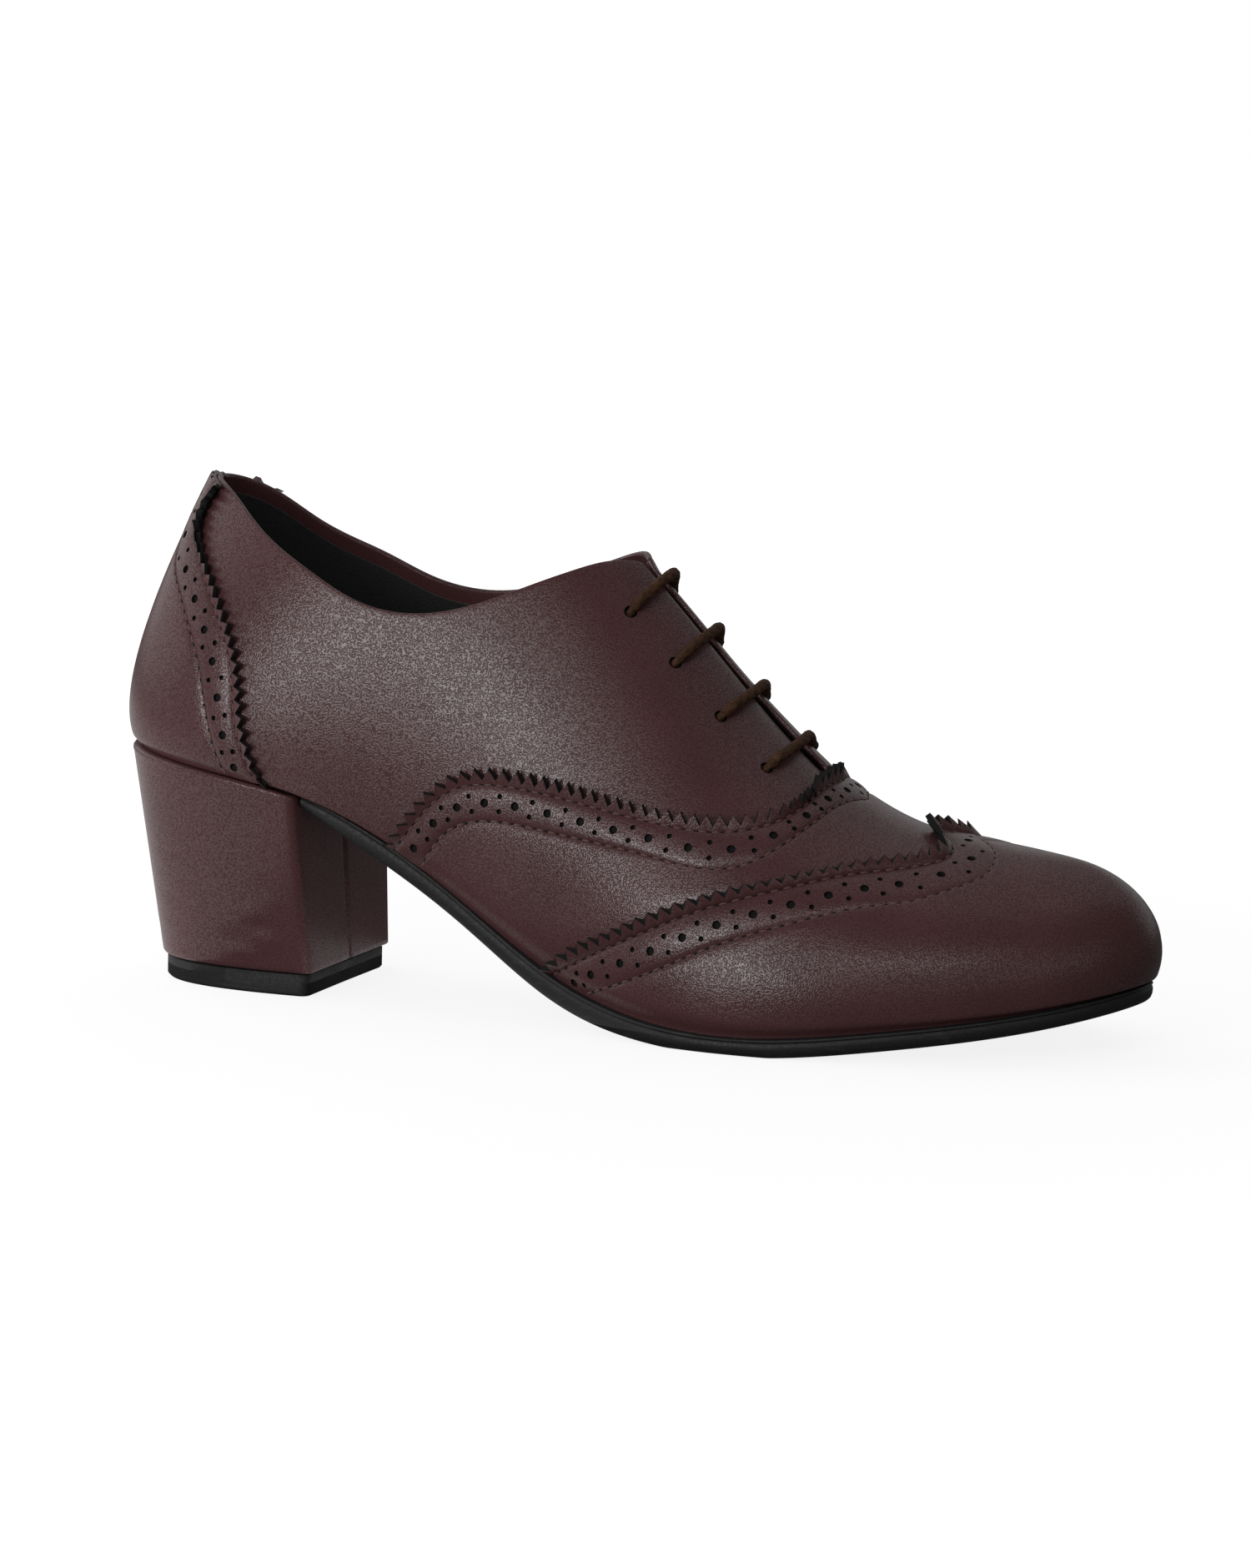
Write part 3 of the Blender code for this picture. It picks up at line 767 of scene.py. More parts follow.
THROAT_DROP = 0.0009
THROAT_STATIONS = (0.515, 0.535)
FACING_LIFT = -0.00135
FACING_THICKNESS = 0.0007
FACING_WIDTH = 0.0046
FACING_HEEL_EXTRA = 0.0032
FACING_END = 0.53
FACING_TOP_GAP = 0.002
FACING_HEEL_STATIONS = (0.09, 0.115)
FACING_GRID = (240, 5)
FACING_EDGE = 0.0002


def eyelet_stations():
    """Stations of the eyelets, from the top down."""
    return EYELET_FIRST + EYELET_STEP * np.arange(EYELET_COUNT)


def quarter_places():
    """Stations of the quarters' columns, closer where the collar turns."""
    runs = [
        np.linspace(low, high, steps, endpoint=False)
        for low, high, steps in zip(QUARTER_BREAKS, QUARTER_BREAKS[1:], QUARTER_STEPS)
    ]
    return np.append(np.concatenate(runs), 1.0)


def slack(places, heights):
    """Lift of the medial facing, which stands a little away from the foot, most at its ends."""
    corner = FACING_PUFF * np.exp(-(((places - FACING_PUFF_PLACE) / FACING_PUFF_WIDTH) ** 2))
    ease = mix(FACING_EASE, FACING_EASE_FOOT, smoothstep(*FACING_FOOT_STATIONS, places))
    held = smoothstep(*FACING_TOP_STATIONS, places) * (1 - smoothstep(*FACING_END_STATIONS, places))
    return np.maximum(corner, ease * held) * smoothstep(*FACING_HEIGHTS, heights)


def add_quarters(leather, raw_and_shade):
    """Quarters with their soft rim and punched eyelets."""
    places = quarter_places()
    columns = len(places) - 1

    def point_of(side, across, up):
        place = side * places[np.rint(across * columns).astype(int)]
        height = up * top_share(place)
        return lifted(place, height, slack(place, height))

    shape = bmesh.new()
    add_halves(shape, columns, QUARTER_ROWS, point_of, MEDIAL)
    item = add_piece("quarter_leather", shape, (leather, raw_and_shade), ("upper",))
    thicken(item, QUARTER_THICKNESS, rim=0)
    soften_edges(item, QUARTER_EDGE)
    apply_modifiers(item)
    pins = bmesh.new()
    for side in SIDES:
        place = side * eyelet_stations()
        height = np.full_like(place, EYELET_HEIGHT)
        for matrix in stand_on(wall(place, height), outward(place, height)):
            add_pin(pins, matrix, EYELET_RADIUS, -EYELET_PIN, EYELET_PIN, EYELET_SIDES)
    punch(item, pins)


def add_lining(cloth):
    """Black lining cloth behind the quarters."""
    places = quarter_places()
    columns = len(places) - 1

    def point_of(side, across, up):
        place = side * places[np.rint(across * columns).astype(int)]
        top = top_share(place)
        width = mix(LINING_DROP, THROAT_DROP, smoothstep(*THROAT_STATIONS, np.abs(place)))
        drop = np.where(np.abs(place) < THROAT_END, height_step(place, top, width), 0)
        height = up * (top - drop)
        return lifted(place, height, LINING_LIFT + slack(place, height))

    shape = bmesh.new()
    add_halves(shape, columns, QUARTER_ROWS, point_of, MEDIAL)
    item = add_piece("lining_cloth", shape, (cloth,))
    thicken(item, LINING_THICKNESS, back=0, rim=0)
    apply_modifiers(item)


def add_collar_facing(leather, raw_and_shade):
    """Leather band turned in round the collar, wider at the back of the heel."""

    def point_of(across, up):
        place = mix(-FACING_END, FACING_END, across)
        top = top_share(place) - FACING_TOP_GAP
        heel = 1 - smoothstep(*FACING_HEEL_STATIONS, np.abs(place))
        drop = height_step(place, top, FACING_WIDTH + FACING_HEEL_EXTRA * heel)
        height = top - (1 - up) * drop
        return lifted(place, height, FACING_LIFT + slack(place, height))

    shape = bmesh.new()
    mapped_grid(shape, *FACING_GRID, point_of)
    item = add_piece("collar_facing", shape, (leather, raw_and_shade))
    thicken(item, FACING_THICKNESS, rim=0)
    soften_edges(item, FACING_EDGE)
    apply_modifiers(item)


# Panels with pinked edges and punched bands


TOEWARD = 1
HEELWARD = -1
EDGE, STITCH, INNER = range(3)
WALK_STEPS = 8
SEAM_PROBE = 0.004
LEVEL_HEIGHTS = (0.74, 0.82)


def walked(places, heights, headings, distances):
    """Stations and height shares at distances along headings; the feather line and the crest are kept to."""
    free = (heights > 0) & (heights < 1)
    for _ in range(WALK_STEPS):
        along = wall(places + PROBE, heights) - wall(places - PROBE, heights)
        upward = wall(places, heights + PROBE) - wall(places, heights - PROBE)
        slopes = np.stack((along, upward), -1) / (2 * PROBE)
        turn = np.linalg.pinv(slopes) @ headings[..., None]
        length = np.linalg.norm(slopes @ turn, axis=1)[:, 0]
        step = turn[..., 0] * (distances / WALK_STEPS / length)[:, None]
        places = places + step[:, 0]
        heights = heights + step[:, 1] * free
    return places, heights


class Seam:
    """Lines of one panel's seam: its pinked edge and its two rows of stitches."""

    def __init__(self, rows, inwards):
        table = SeamRow(*np.array(rows).T)
        places = -table.station * PERCENT
        heights = table.height * PERCENT
        way = way_along(wall(places, heights))
        shares = way / way[-1]
        self.inwards = inwards
        self.length = way[-1]
        headings = self.headings(places, heights, shares, np.radians(table.lean)[:, None])
        edge = walked(places, heights, -headings, table.margin)
        inner = walked(places, heights, headings, table.band)
        columns = (edge[1], -edge[0], heights, -places, inner[1], -inner[0])
        self.curve = SmoothCurve(shares, np.stack(columns, -1))

    def headings(self, places, heights, shares, lean):
        """Directions into the panel: square to the stitches, level at both ends, turned by the lean."""
        run = SmoothCurve(shares, np.stack((places, heights), -1))
        behind = wall(*run.at(np.clip(shares - SEAM_PROBE, 0, 1)).T)
        ahead = wall(*run.at(np.clip(shares + SEAM_PROBE, 0, 1)).T)
        normal = outward(places, heights)
        square = np.cross(unit(ahead - behind), normal)
        level = unit(wall(places - PROBE, heights) - wall(places + PROBE, heights))
        share = np.maximum(heights <= 0, smoothstep(*LEVEL_HEIGHTS, heights))
        plain = unit(mix(square, level, share[:, None])) * self.inwards
        return plain * np.cos(lean) - np.cross(normal, plain) * np.sin(lean)

    def lines(self, shares):
        """Heights and stations of the three lines at shares of the way up."""
        return self.curve.at(shares).reshape(-1, 3, 2)


WING = Seam(WING_SEAM, TOEWARD)
VAMP = Seam(VAMP_SEAM, TOEWARD)
COUNTER = Seam(COUNTER_SEAM, HEELWARD)


VAMP_FEATHER_SHARE = 0.24
VAMP_FEATHER_ENDS = (0.342, 0.47)


def vamp_far(shares, lines):
    """The vamp runs along the feather line, then on under the wing's first stitches."""
    along = np.clip(shares / VAMP_FEATHER_SHARE, 0, 1)
    upward = np.clip((shares - VAMP_FEATHER_SHARE) / (1 - VAMP_FEATHER_SHARE), 0, 1)
    feather = np.stack((np.zeros_like(shares), mix(*VAMP_FEATHER_ENDS, along)), -1)
    return np.where((shares < VAMP_FEATHER_SHARE)[:, None], feather, WING.lines(upward)[:, STITCH])


def wing_far(shares, lines):
    """The wing runs to the middle of the toe."""
    return np.stack((lines[:, INNER, 0], np.ones_like(shares)), -1)


def counter_far(shares, lines):
    """The counter runs to the back of the heel."""
    return np.stack((lines[:, INNER, 0], np.zeros_like(shares)), -1)


# Lifts, widths, skirt and drop in metres, curl, stand and pleat in degrees, tail in band widths;
# skirt and drop shape the fold under the teeth, and fill its share of the gaps between them
Panel = namedtuple(
    "Panel",
    "name node seam far lift overlap width curl stand stand_from stand_full pleat "
    "tail rows skirt fill drop",
)
PANELS = (
    Panel(
        "vamp", "vamp_band", VAMP, vamp_far,
        lift=0.0014, overlap=0.0, width=0.0040,
        curl=15, stand=55, stand_from=0.70, stand_full=0.92, pleat=6,
        tail=3.0, rows=12, skirt=0.0009, fill=0.0, drop=0.0011,
    ),
    Panel(
        "wing", "wing_cap", WING, wing_far,
        lift=0.0019, overlap=0.0004, width=0.0040,
        curl=19, stand=38, stand_from=0.74, stand_full=0.96, pleat=5,
        tail=10.0, rows=34, skirt=0.0003, fill=0.55, drop=0.0008,
    ),
    Panel(
        "counter", "heel_counter", COUNTER, counter_far,
        lift=0.0014, overlap=0.0, width=0.0036,
        curl=20, stand=38, stand_from=0.6, stand_full=0.85, pleat=5,
        tail=4.0, rows=14, skirt=0.0007, fill=0.0, drop=0.0011,
    ),
)
PANEL_THICKNESS = 0.0014
VAMP_MEDIAL_STAND = (0.95, 1.0)
SKIRT_TRACK = -0.05
FOOT_TUCK = 0.3
FOOT_TUCK_HEIGHT = 0.045
BAND_TRACKS = (SKIRT_TRACK, 0, 0.33, 0.66, 0.92, 1, 1.06, 1.16, 1.32, 1.5, 1.68, 1.84, 1.94)
TAIL_TRACKS = (0, 0.06, 0.16)
TOOTH_JITTER = 0.00012
GROOVE = 0.00030
GROOVE_WIDTH = 0.06
PUFF = 0.00028
COLLAR_MARGIN = 0.0006
RIM_SINK = 0.0007
MEDIAL_TOP_SHIFT = 0.016
TAB_FOOT = 0.1095
RIM_FOOT = 0.1135
PLEAT_LENGTH = 0.0062
OVERLAP_TRACKS = (0.7, 1.0)
VAMP_SINK = 0.0004
VAMP_SINK_TRACKS = (2.75, 3.0)
TOP_SHIFT_SHARES = (0.8, 1)
COLLAR_STATION = 0.4
SEED = 11


def stand_share(panel, side, shares):
    """Share of a margin's full stand; past the crest the vamp's soon lies down again."""
    if side == MEDIAL and panel.far is vamp_far:
        return smoothstep(*VAMP_MEDIAL_STAND, shares)
    return smoothstep(panel.stand_from, panel.stand_full, shares)


def stand_angle(panel, side, shares):
    """How far a pinked margin stands up from the shoe, with small pleats where it stands most."""
    rise = stand_share(panel, side, shares)
    pleats = np.sin(2 * np.pi * (shares - 1) * panel.seam.length / PLEAT_LENGTH + side * (1 - rise))
    return np.radians(mix(panel.curl, panel.stand, rise) + panel.pleat * rise * pleats)


def panel_lift(panel, tracks):
    """Height of a panel's face over the quarters, sunk at its stitches and full between them."""
    away = np.where(tracks > 2, (tracks - 2) * panel.tail, np.abs(tracks - 2))
    grooves = np.exp(-(((tracks - 1) / GROOVE_WIDTH) ** 2)) + np.exp(-((away / GROOVE_WIDTH) ** 2))
    band = np.where((tracks > 1) & (tracks < 2), np.sin(np.pi * (tracks - 1)), 0)
    margin = panel.overlap * (1 - smoothstep(*OVERLAP_TRACKS, tracks))
    under = VAMP_SINK * smoothstep(*VAMP_SINK_TRACKS, tracks) if panel.far is vamp_far else 0
    return panel.lift - under + margin - GROOVE * grooves + PUFF * band


def panel_spot(panel, side, shares, tracks, cut=0.0, jitter=0.0):
    """Stations, height shares and lifts at shares up a seam and tracks across it."""
    lines = panel.seam.lines(shares)
    stops = np.concatenate((lines, panel.far(shares, lines)[:, None]), 1)
    skirt = (tracks < 0) * (1 - stand_share(panel, side, shares))
    reach = np.clip(1 - tracks, 0, 1) * (1 - cut) + skirt * (panel.skirt / panel.width + panel.fill * cut)
    angle = stand_angle(panel, side, shares)
    track = np.where(tracks < 1, 1 - reach * np.cos(angle), tracks)
    first = np.clip(track.astype(int), 0, 2)
    row = np.arange(len(track))
    spot = mix(stops[row, first], stops[row, first + 1], (track - first)[:, None])
    forward = 0
    if side == MEDIAL and panel.far is counter_far:
        forward = MEDIAL_TOP_SHIFT * smoothstep(*TOP_SHIFT_SHARES, shares)
    place = side * (spot[:, 1] + forward * np.clip(3 - tracks, 0, 1))
    top = top_share(place)
    ceiling = np.where(top < 1 - PROBE, top + height_step(place, top, -COLLAR_MARGIN), 1.0)
    height = np.clip(spot[:, 0], 0, np.where(np.abs(place) < COLLAR_STATION, ceiling, 1.0))
    tuck = mix(FOOT_TUCK, 1, smoothstep(0, FOOT_TUCK_HEIGHT, height))
    lift = panel_lift(panel, tracks) * tuck + reach * (panel.width * np.sin(angle) + jitter)
    lift = lift - skirt * panel.drop * tuck
    return place, height, lift


def panel_tracks(panel):
    """Tracks of a panel's rows from its pinked edge inwards."""
    tail = 2 + np.array(TAIL_TRACKS) / panel.tail
    return np.concatenate((BAND_TRACKS, tail, np.linspace(tail[-1], 3, panel.rows)[1:]))


def add_panel(panel, leather, raw_and_shade, trim):
    """Panel with teeth along its edge, of one leather with black cut faces."""
    teeth = round(panel.seam.length / trim.tooth_pitch)
    columns = 2 * teeth
    tracks = panel_tracks(panel)
    bends = np.random.default_rng(SEED).normal(0, TOOTH_JITTER, columns + 1)
    depth = trim.tooth_depth / panel.width

    def point_of(side, across, up):
        column = np.rint(across * columns).astype(int)
        track = tracks[np.rint(up * (len(tracks) - 1)).astype(int)]
        place, height, lift = panel_spot(panel, side, across, track, depth * (column % 2), bends[column])
        points = lifted(place, height, lift)
        if side == MEDIAL and panel.far is counter_far:
            rim = lifted(place, top_share(place), 0.0)[:, 2] - RIM_SINK * np.clip(3 - track, 0, 1)
            points[:, 2] = np.minimum(points[:, 2], rim)
        return points

    shape = bmesh.new()
    turned = LATERAL if panel.seam.inwards == TOEWARD else MEDIAL
    add_halves(shape, columns, len(tracks) - 1, point_of, turned)
    chart = shape.loops.layers.uv["chart"]
    # The fold under the teeth takes the black of the cut edge: partly the cut face, partly painted shade of
    # the gap under the lifted teeth.
    for face in shape.faces:
        if min(loop[chart].uv.y for loop in face.loops) < WELD:
            face.material_index = 1
    name = f"{panel.name}_leather"
    item = add_piece(name, shape, (leather, raw_and_shade), (panel.node,))
    thicken(item, PANEL_THICKNESS)
    apply_modifiers(item)
    for face in item.data.polygons:
        if face.center.z > (TAB_FOOT if face.center.y > 0 else RIM_FOOT):
            face.material_index = 0
    punch(item, punch_pins(panel, trim))


HOLE_DEPTH = 0.0008
PIN_HEAD = 0.004
PAIR_OFFSET = 0.21
BAND_MIDDLE = 1.5
LARGE_SIDES = 14
SMALL_SIDES = 10


def punch_pins(panel, trim):
    """Pins for the punched band: large holes in a row, and pairs of small ones between them."""
    pins = bmesh.new()
    count = round(panel.seam.length / trim.hole_pitch)
    large = (np.arange(count) + 0.5) / count
    small = np.arange(1, count + 1) / count
    kinds = (
        (large, BAND_MIDDLE, trim.large_hole, LARGE_SIDES),
        (small, BAND_MIDDLE - PAIR_OFFSET, trim.small_hole, SMALL_SIDES),
        (small, BAND_MIDDLE + PAIR_OFFSET, trim.small_hole, SMALL_SIDES),
    )
    for side in SIDES:
        for shares, track, width, sides in kinds:
            kept = shares if side == LATERAL else shares[shares < 1]
            place, height, lift = panel_spot(panel, side, kept, np.full_like(kept, track))
            for matrix in stand_on(lifted(place, height, lift), outward(place, height)):
                add_pin(pins, matrix, width / 2, -HOLE_DEPTH, PIN_HEAD, sides)
    return pins


STITCH_LIFT = 0.00006
STITCH_TRACKS = (1.0, 2.0)
STITCH_SAMPLES = 400
NEEDLE_HOLE_SHADE = (0.00050, 0.00040, 0.00010)


def seam_frames(panel, side, track, shares):
    """Matrices on a stitch line whose X runs along it and whose Z points out of the shoe."""
    tracks = np.full_like(shares, track)
    spots = panel_spot(panel, side, shares, tracks)
    ahead = lifted(*panel_spot(panel, side, shares + PROBE, tracks))
    placed = []
    for point, tip, normal in zip(lifted(*spots), ahead, outward(spots[0], spots[1])):
        along = Vector(tip - point).normalized()
        across = Vector(normal).cross(along).normalized()
        turn = Matrix((along, across, along.cross(across))).transposed().to_4x4()
        turn.translation = Vector(point + normal * STITCH_LIFT)
        placed.append(turn)
    return placed


def add_bead(shape, matrix, size, material):
    """Small rounded body, half sunk in the leather."""
    made = bmesh.ops.create_uvsphere(
        shape,
        u_segments=8,
        v_segments=5,
        radius=1,
        matrix=matrix @ Matrix.Diagonal((*size, 1)),
    )
    for face in {face for vert in made["verts"] for face in vert.link_faces}:
        face.material_index = material


def add_stitches(panel, thread, raw_and_shade, trim):
    """Two rows of stitches along a panel's band, with black beads between them as painted shade of the
    needle's holes.
    """
    shape = bmesh.new()
    row_mesh = bpy.data.meshes.new("stitch_row")
    stitch = (trim.stitch_length / 2, trim.thread_width / 2, trim.thread_width / 2)
    sweep = np.linspace(0, 1, STITCH_SAMPLES)
    for side in SIDES:
        for track in STITCH_TRACKS:
            line = lifted(*panel_spot(panel, side, sweep, np.full_like(sweep, track)))
            way = way_along(line)
            count = round(way[-1] / trim.stitch_pitch)
            steps = np.interp(np.arange(1, 2 * count) / (2 * count) * way[-1], way, sweep)
            row = bmesh.new()
            for number, matrix in enumerate(seam_frames(panel, side, track, steps)):
                # Every other bead is a black one, painted shade of a needle hole.
                add_bead(row, matrix, NEEDLE_HOLE_SHADE if number % 2 else stitch, number % 2)
            row.to_mesh(row_mesh)
            row.free()
            shape.from_mesh(row_mesh)
    bpy.data.meshes.remove(row_mesh)
    add_piece(f"{panel.name}_stitches", shape, (thread, raw_and_shade))


# Tongue and lace

TONGUE_TOP = 0.515
TONGUE_FRONT = 0.72
TONGUE_EDGE = 0.66
TONGUE_LIFT = -0.0023
TONGUE_DROP = -0.0046
TONGUE_THICKNESS = 0.0014
TONGUE_SLOPE = (0.80, 0.93)
TONGUE_EDGE_ROUND = 0.0003
TONGUE_GRID = (40, 20)


def add_tongue(leather, raw_and_shade):
    """Tongue under the facings, lower at its sides where the lace runs inside."""

    def point_of(side, across, up):
        place = side * mix(TONGUE_TOP, TONGUE_FRONT, across)
        height = mix(TONGUE_EDGE, 1, up)
        lift = mix(TONGUE_DROP, TONGUE_LIFT, smoothstep(*TONGUE_SLOPE, height))
        return lifted(place, height, lift)

    shape = bmesh.new()
    add_halves(shape, *TONGUE_GRID, point_of, MEDIAL)
    item = add_piece("tongue_leather", shape, (leather, raw_and_shade), ("tongue",))
    thicken(item, TONGUE_THICKNESS, rim=0)
    soften_edges(item, TONGUE_EDGE_ROUND)
    apply_modifiers(item)


LACE_LEAN = 0.0145
LACE_ARCH = 0.0020
LACE_FAR_FALL = 0.45
LACE_GAP = 0.0001
LACE_INSIDE = -0.0031
LACE_RETURN = 0.055
LACE_RETURN_SHARES = np.linspace(0.05, 0.97, 8)
LACE_RUN_SHARES = (0.25, 0.5, 0.75)
LACE_RUN_DROP = 0.008
LACE_END = (0.012, 0.02)
LACE_TURN_DROP = 0.004
LACE_TURN = -0.0024
LACE_DIP_FROM = 0.86
LACE_DIP = -0.0008
LACE_SQUEEZE = 0.72
LACE_SQUEEZE_LIFT = 0.0009
LACE_TIP = 0.0012
LACE_RING = 0.00022
LACE_SIDES = 20
LACE_STRANDS = 4
BRAID_PITCH = 0.0026
BRAID_DEPTH = 0.09
BRAID_LEVEL = 0.6
BAR_HALF = (0.25, 0.5, 0.7, 0.86, 0.93, 1.0)
BAR_STEPS = np.array((*(-step for step in reversed(BAR_HALF)), 0.0, *BAR_HALF))


def lace_bar(place, side, radius):
    """One bar of the lace over the throat, down into an eyelet at both ends."""
    spots = []
    for across in BAR_STEPS:
        near = side if across < 0 else -side
        where = place + LACE_LEAN * (1 - across**2)
        height = mix(1, EYELET_HEIGHT, abs(across))
        fall = 1 - across**2 if near == LATERAL else 1 - smoothstep(0, LACE_FAR_FALL, abs(across))
        over = radius + LACE_GAP + LACE_ARCH * fall
        lift = mix(over, LACE_DIP, smoothstep(LACE_DIP_FROM, 1.0, abs(across)))
        spots.append((near * where, height, lift))
    return spots


def lace_route(radius):
    """Stations, height shares and lifts of the lace, bar after bar down the throat and back inside."""
    side = LATERAL
    places = eyelet_stations()
    spots = [(side * (places[0] + LACE_END[0]), EYELET_HEIGHT - LACE_END[1], LACE_INSIDE)]
    for i, place in enumerate(places):
        spots.append((side * place, EYELET_HEIGHT - LACE_TURN_DROP, LACE_TURN))
        spots += lace_bar(place, side, radius)
        side = -side
        spots.append((side * place, EYELET_HEIGHT - LACE_TURN_DROP, LACE_TURN))
        if i + 1 < len(places):
            for share in LACE_RUN_SHARES:
                where = side * mix(place, places[i + 1], share)
                spots.append((where, EYELET_HEIGHT - LACE_RUN_DROP, LACE_INSIDE))
    low = EYELET_HEIGHT - LACE_RETURN
    for share in LACE_RETURN_SHARES:
        spots.append((side * mix(places[-1], places[0], share), low, LACE_INSIDE))
    return np.array(spots)


def turning_frames(points):
    """Sideways directions that follow a path without twisting."""
    along = unit(np.gradient(points, axis=0))
    across = unit(np.cross(along[0], UP))
    frames = []
    for direction in along:
        across = across - direction * np.dot(across, direction)
        across = across / np.linalg.norm(across)
        frames.append((across, np.cross(direction, across)))
    return np.array(frames)


def add_lace(braid, lace):
    """Round braided lace through every eyelet."""
    spots = lace_route(lace.radius)
    rough = lifted(*spots.T)
    way = way_along(rough)
    fine = np.linspace(0, way[-1], round(way[-1] / LACE_RING) + 1)
    path = SmoothCurve(way, rough).at(fine)
    lifts = SmoothCurve(way, spots[:, 2:]).at(fine)[:, 0]
    frames = turning_frames(path)
    squeeze = mix(LACE_SQUEEZE, 1.0, smoothstep(0.0, LACE_SQUEEZE_LIFT, lifts))
    rings = len(fine) - 1

    def point_of(across, up):
        ring = np.rint(across * rings).astype(int)
        angle = up * 2 * np.pi
        run = 2 * np.pi * fine[ring] / BRAID_PITCH
        over = np.cos(LACE_STRANDS * angle + run)
        under = np.cos(LACE_STRANDS * angle - run)
        radius = lace.radius * squeeze[ring] * (1 + BRAID_DEPTH * (np.maximum(over, under) - BRAID_LEVEL))
        ends = smoothstep(0, LACE_TIP, np.minimum(fine[ring], fine[-1] - fine[ring]))
        radius = radius * np.sqrt(ends)
        sideways = frames[ring, 0] * np.cos(angle)[:, None] + frames[ring, 1] * np.sin(angle)[:, None]
        return path[ring] + sideways * radius[:, None]

    shape = bmesh.new()
    mapped_grid(shape, rings, LACE_SIDES, point_of)
    bmesh.ops.remove_doubles(shape, verts=shape.verts, dist=WELD)
    bmesh.ops.recalc_face_normals(shape, faces=shape.faces)
    bars = [f"lace_bar_{i + 1}" for i in range(EYELET_COUNT)]
    add_piece("lace", shape, (braid,), bars)


# Insole, outsole and heel

GAP = 0.00035
INSOLE_THICKNESS = 0.002
INSOLE_INSET = 0.0026
BREAST_TOP_X = -0.0704
BREAST_FOOT_X = -0.0682
BREAST_GAP = 0.0008
HEEL_MARGIN_BACK = 0.0025
HEEL_MARGIN_BREAST = 0.0012
HEEL_LENGTH_TAPER = 0.894
HEEL_LATERAL_TAPER = 0.79
HEEL_MEDIAL_TAPER = 0.92
TIP_HEIGHT = 0.005
TIP_SCALE = 0.955
SOLE_STATIONS = 170
INSOLE_STATIONS = 120
SOCK_REACH = 0.7
STATION_SWEEP = np.linspace(0, 0.6, 2000)


def outline(places, margin):
    """Plan points of the feather line, moved outwards."""
    row = station(places)
    ahead = station(places + PROBE)
    behind = station(places - PROBE)
    flat = np.zeros_like(row.x)
    away = unit(np.stack((behind.side - ahead.side, ahead.x - behind.x, flat), -1))
    return np.stack((row.x, row.side, flat), -1) + away * np.reshape(margin, (-1, 1))


def station_at(x):
    """Station of the feather line at a place along the shoe."""
    return float(np.interp(x, station(STATION_SWEEP).x, STATION_SWEEP))


def ring_across(lateral, medial):
    """Rings across the shoe from rows of edge points on both sides."""
    return np.concatenate((lateral, medial[:, ::-1]), 1)


SockRow = namedtuple("SockRow", "inset height")
SOCK_EDGE = (
    SockRow(0.022, 1.0),
    SockRow(0.010, 1.0),
    SockRow(0.0042, 1.05),
    SockRow(0.0029, 0.98),
    SockRow(0.0026, 0.80),
    SockRow(0.0026, 0.0),
)


def add_sock(finish):
    """Insole sock with a soft edge."""
    places = np.linspace(0, 1, INSOLE_STATIONS + 1)

    def edge(side):
        rows = []
        half = np.abs(station(places).side - station(-places).side) / 2
        for row in SOCK_EDGE:
            inset = np.minimum(row.inset, np.maximum(half * SOCK_REACH, INSOLE_INSET))
            level = station(side * places).seat + row.height * INSOLE_THICKNESS
            rows.append(outline(side * places, -inset) + UP * level[:, None])
        return np.stack(rows, 1)

    add_loft("sock", ring_across(edge(LATERAL), edge(MEDIAL)), (finish,), ("insole",))


SOLE_GAP = 0.00005
RIB_START = 0.50
RIB_END = 0.93
RIB_DEPTH = 0.0006
RIB_INSETS = (0.005, 0.0062, 0.016, 0.026)
RIB_REACH = 0.6
RIB_REACH_STEP = 0.1
EDGE_REACH = 0.5


def add_outsole(finish):
    """Thin sole with a half-round edge and fine ribs underneath."""
    start = station_at(BREAST_TOP_X + BREAST_GAP)
    places = mix(start, 1, np.linspace(0, 1, SOLE_STATIONS + 1))

    def edge(side):
        row = station(side * places)
        margin, thickness = SOLE_CURVE.at((row.x + HEEL_REACH) / LAST_LENGTH / PERCENT).T
        top = row.seat - SOLE_GAP
        foot = np.maximum(row.seat - GAP - thickness, 0)
        half = np.abs(row.side - station(-side * places).side) / 2
        rows = []
        for profile in SOLE_EDGE:
            inset = np.minimum(profile.inset, margin + half * EDGE_REACH)
            rows.append(outline(side * places, margin - inset) + UP * mix(top, foot, profile.drop)[:, None])
        ribbed = (places > RIB_START) & (places < RIB_END) & (np.arange(len(places)) % 4 < 2)
        for number, reach in enumerate(RIB_INSETS):
            inset = np.minimum(reach, margin + half * (RIB_REACH + RIB_REACH_STEP * number))
            groove = np.where(ribbed & (number > 0), RIB_DEPTH, 0)
            rows.append(outline(side * places, margin - inset) + UP * (foot + groove)[:, None])
        return np.stack(rows, 1)

    add_loft("sole_unit", ring_across(edge(LATERAL), edge(MEDIAL)), (finish,), ("outsole",))


def heel_points(places, breast):
    """Top and foot points of the heel cover."""
    share = np.abs(places) / breast
    top = outline(places, mix(HEEL_MARGIN_BACK, HEEL_MARGIN_BREAST, share))
    taper = np.where(places < 0, HEEL_LATERAL_TAPER, HEEL_MEDIAL_TAPER)
    foot_x = BREAST_FOOT_X - (BREAST_TOP_X - top[:, 0]) * HEEL_LENGTH_TAPER
    foot_y = SIDE_SHIFT + (top[:, 1] - SIDE_SHIFT) * taper
    foot = np.stack((foot_x, foot_y, np.full_like(foot_x, TIP_HEIGHT + GAP)), -1)
    return top + UP * (station(places).seat - GAP)[:, None], foot


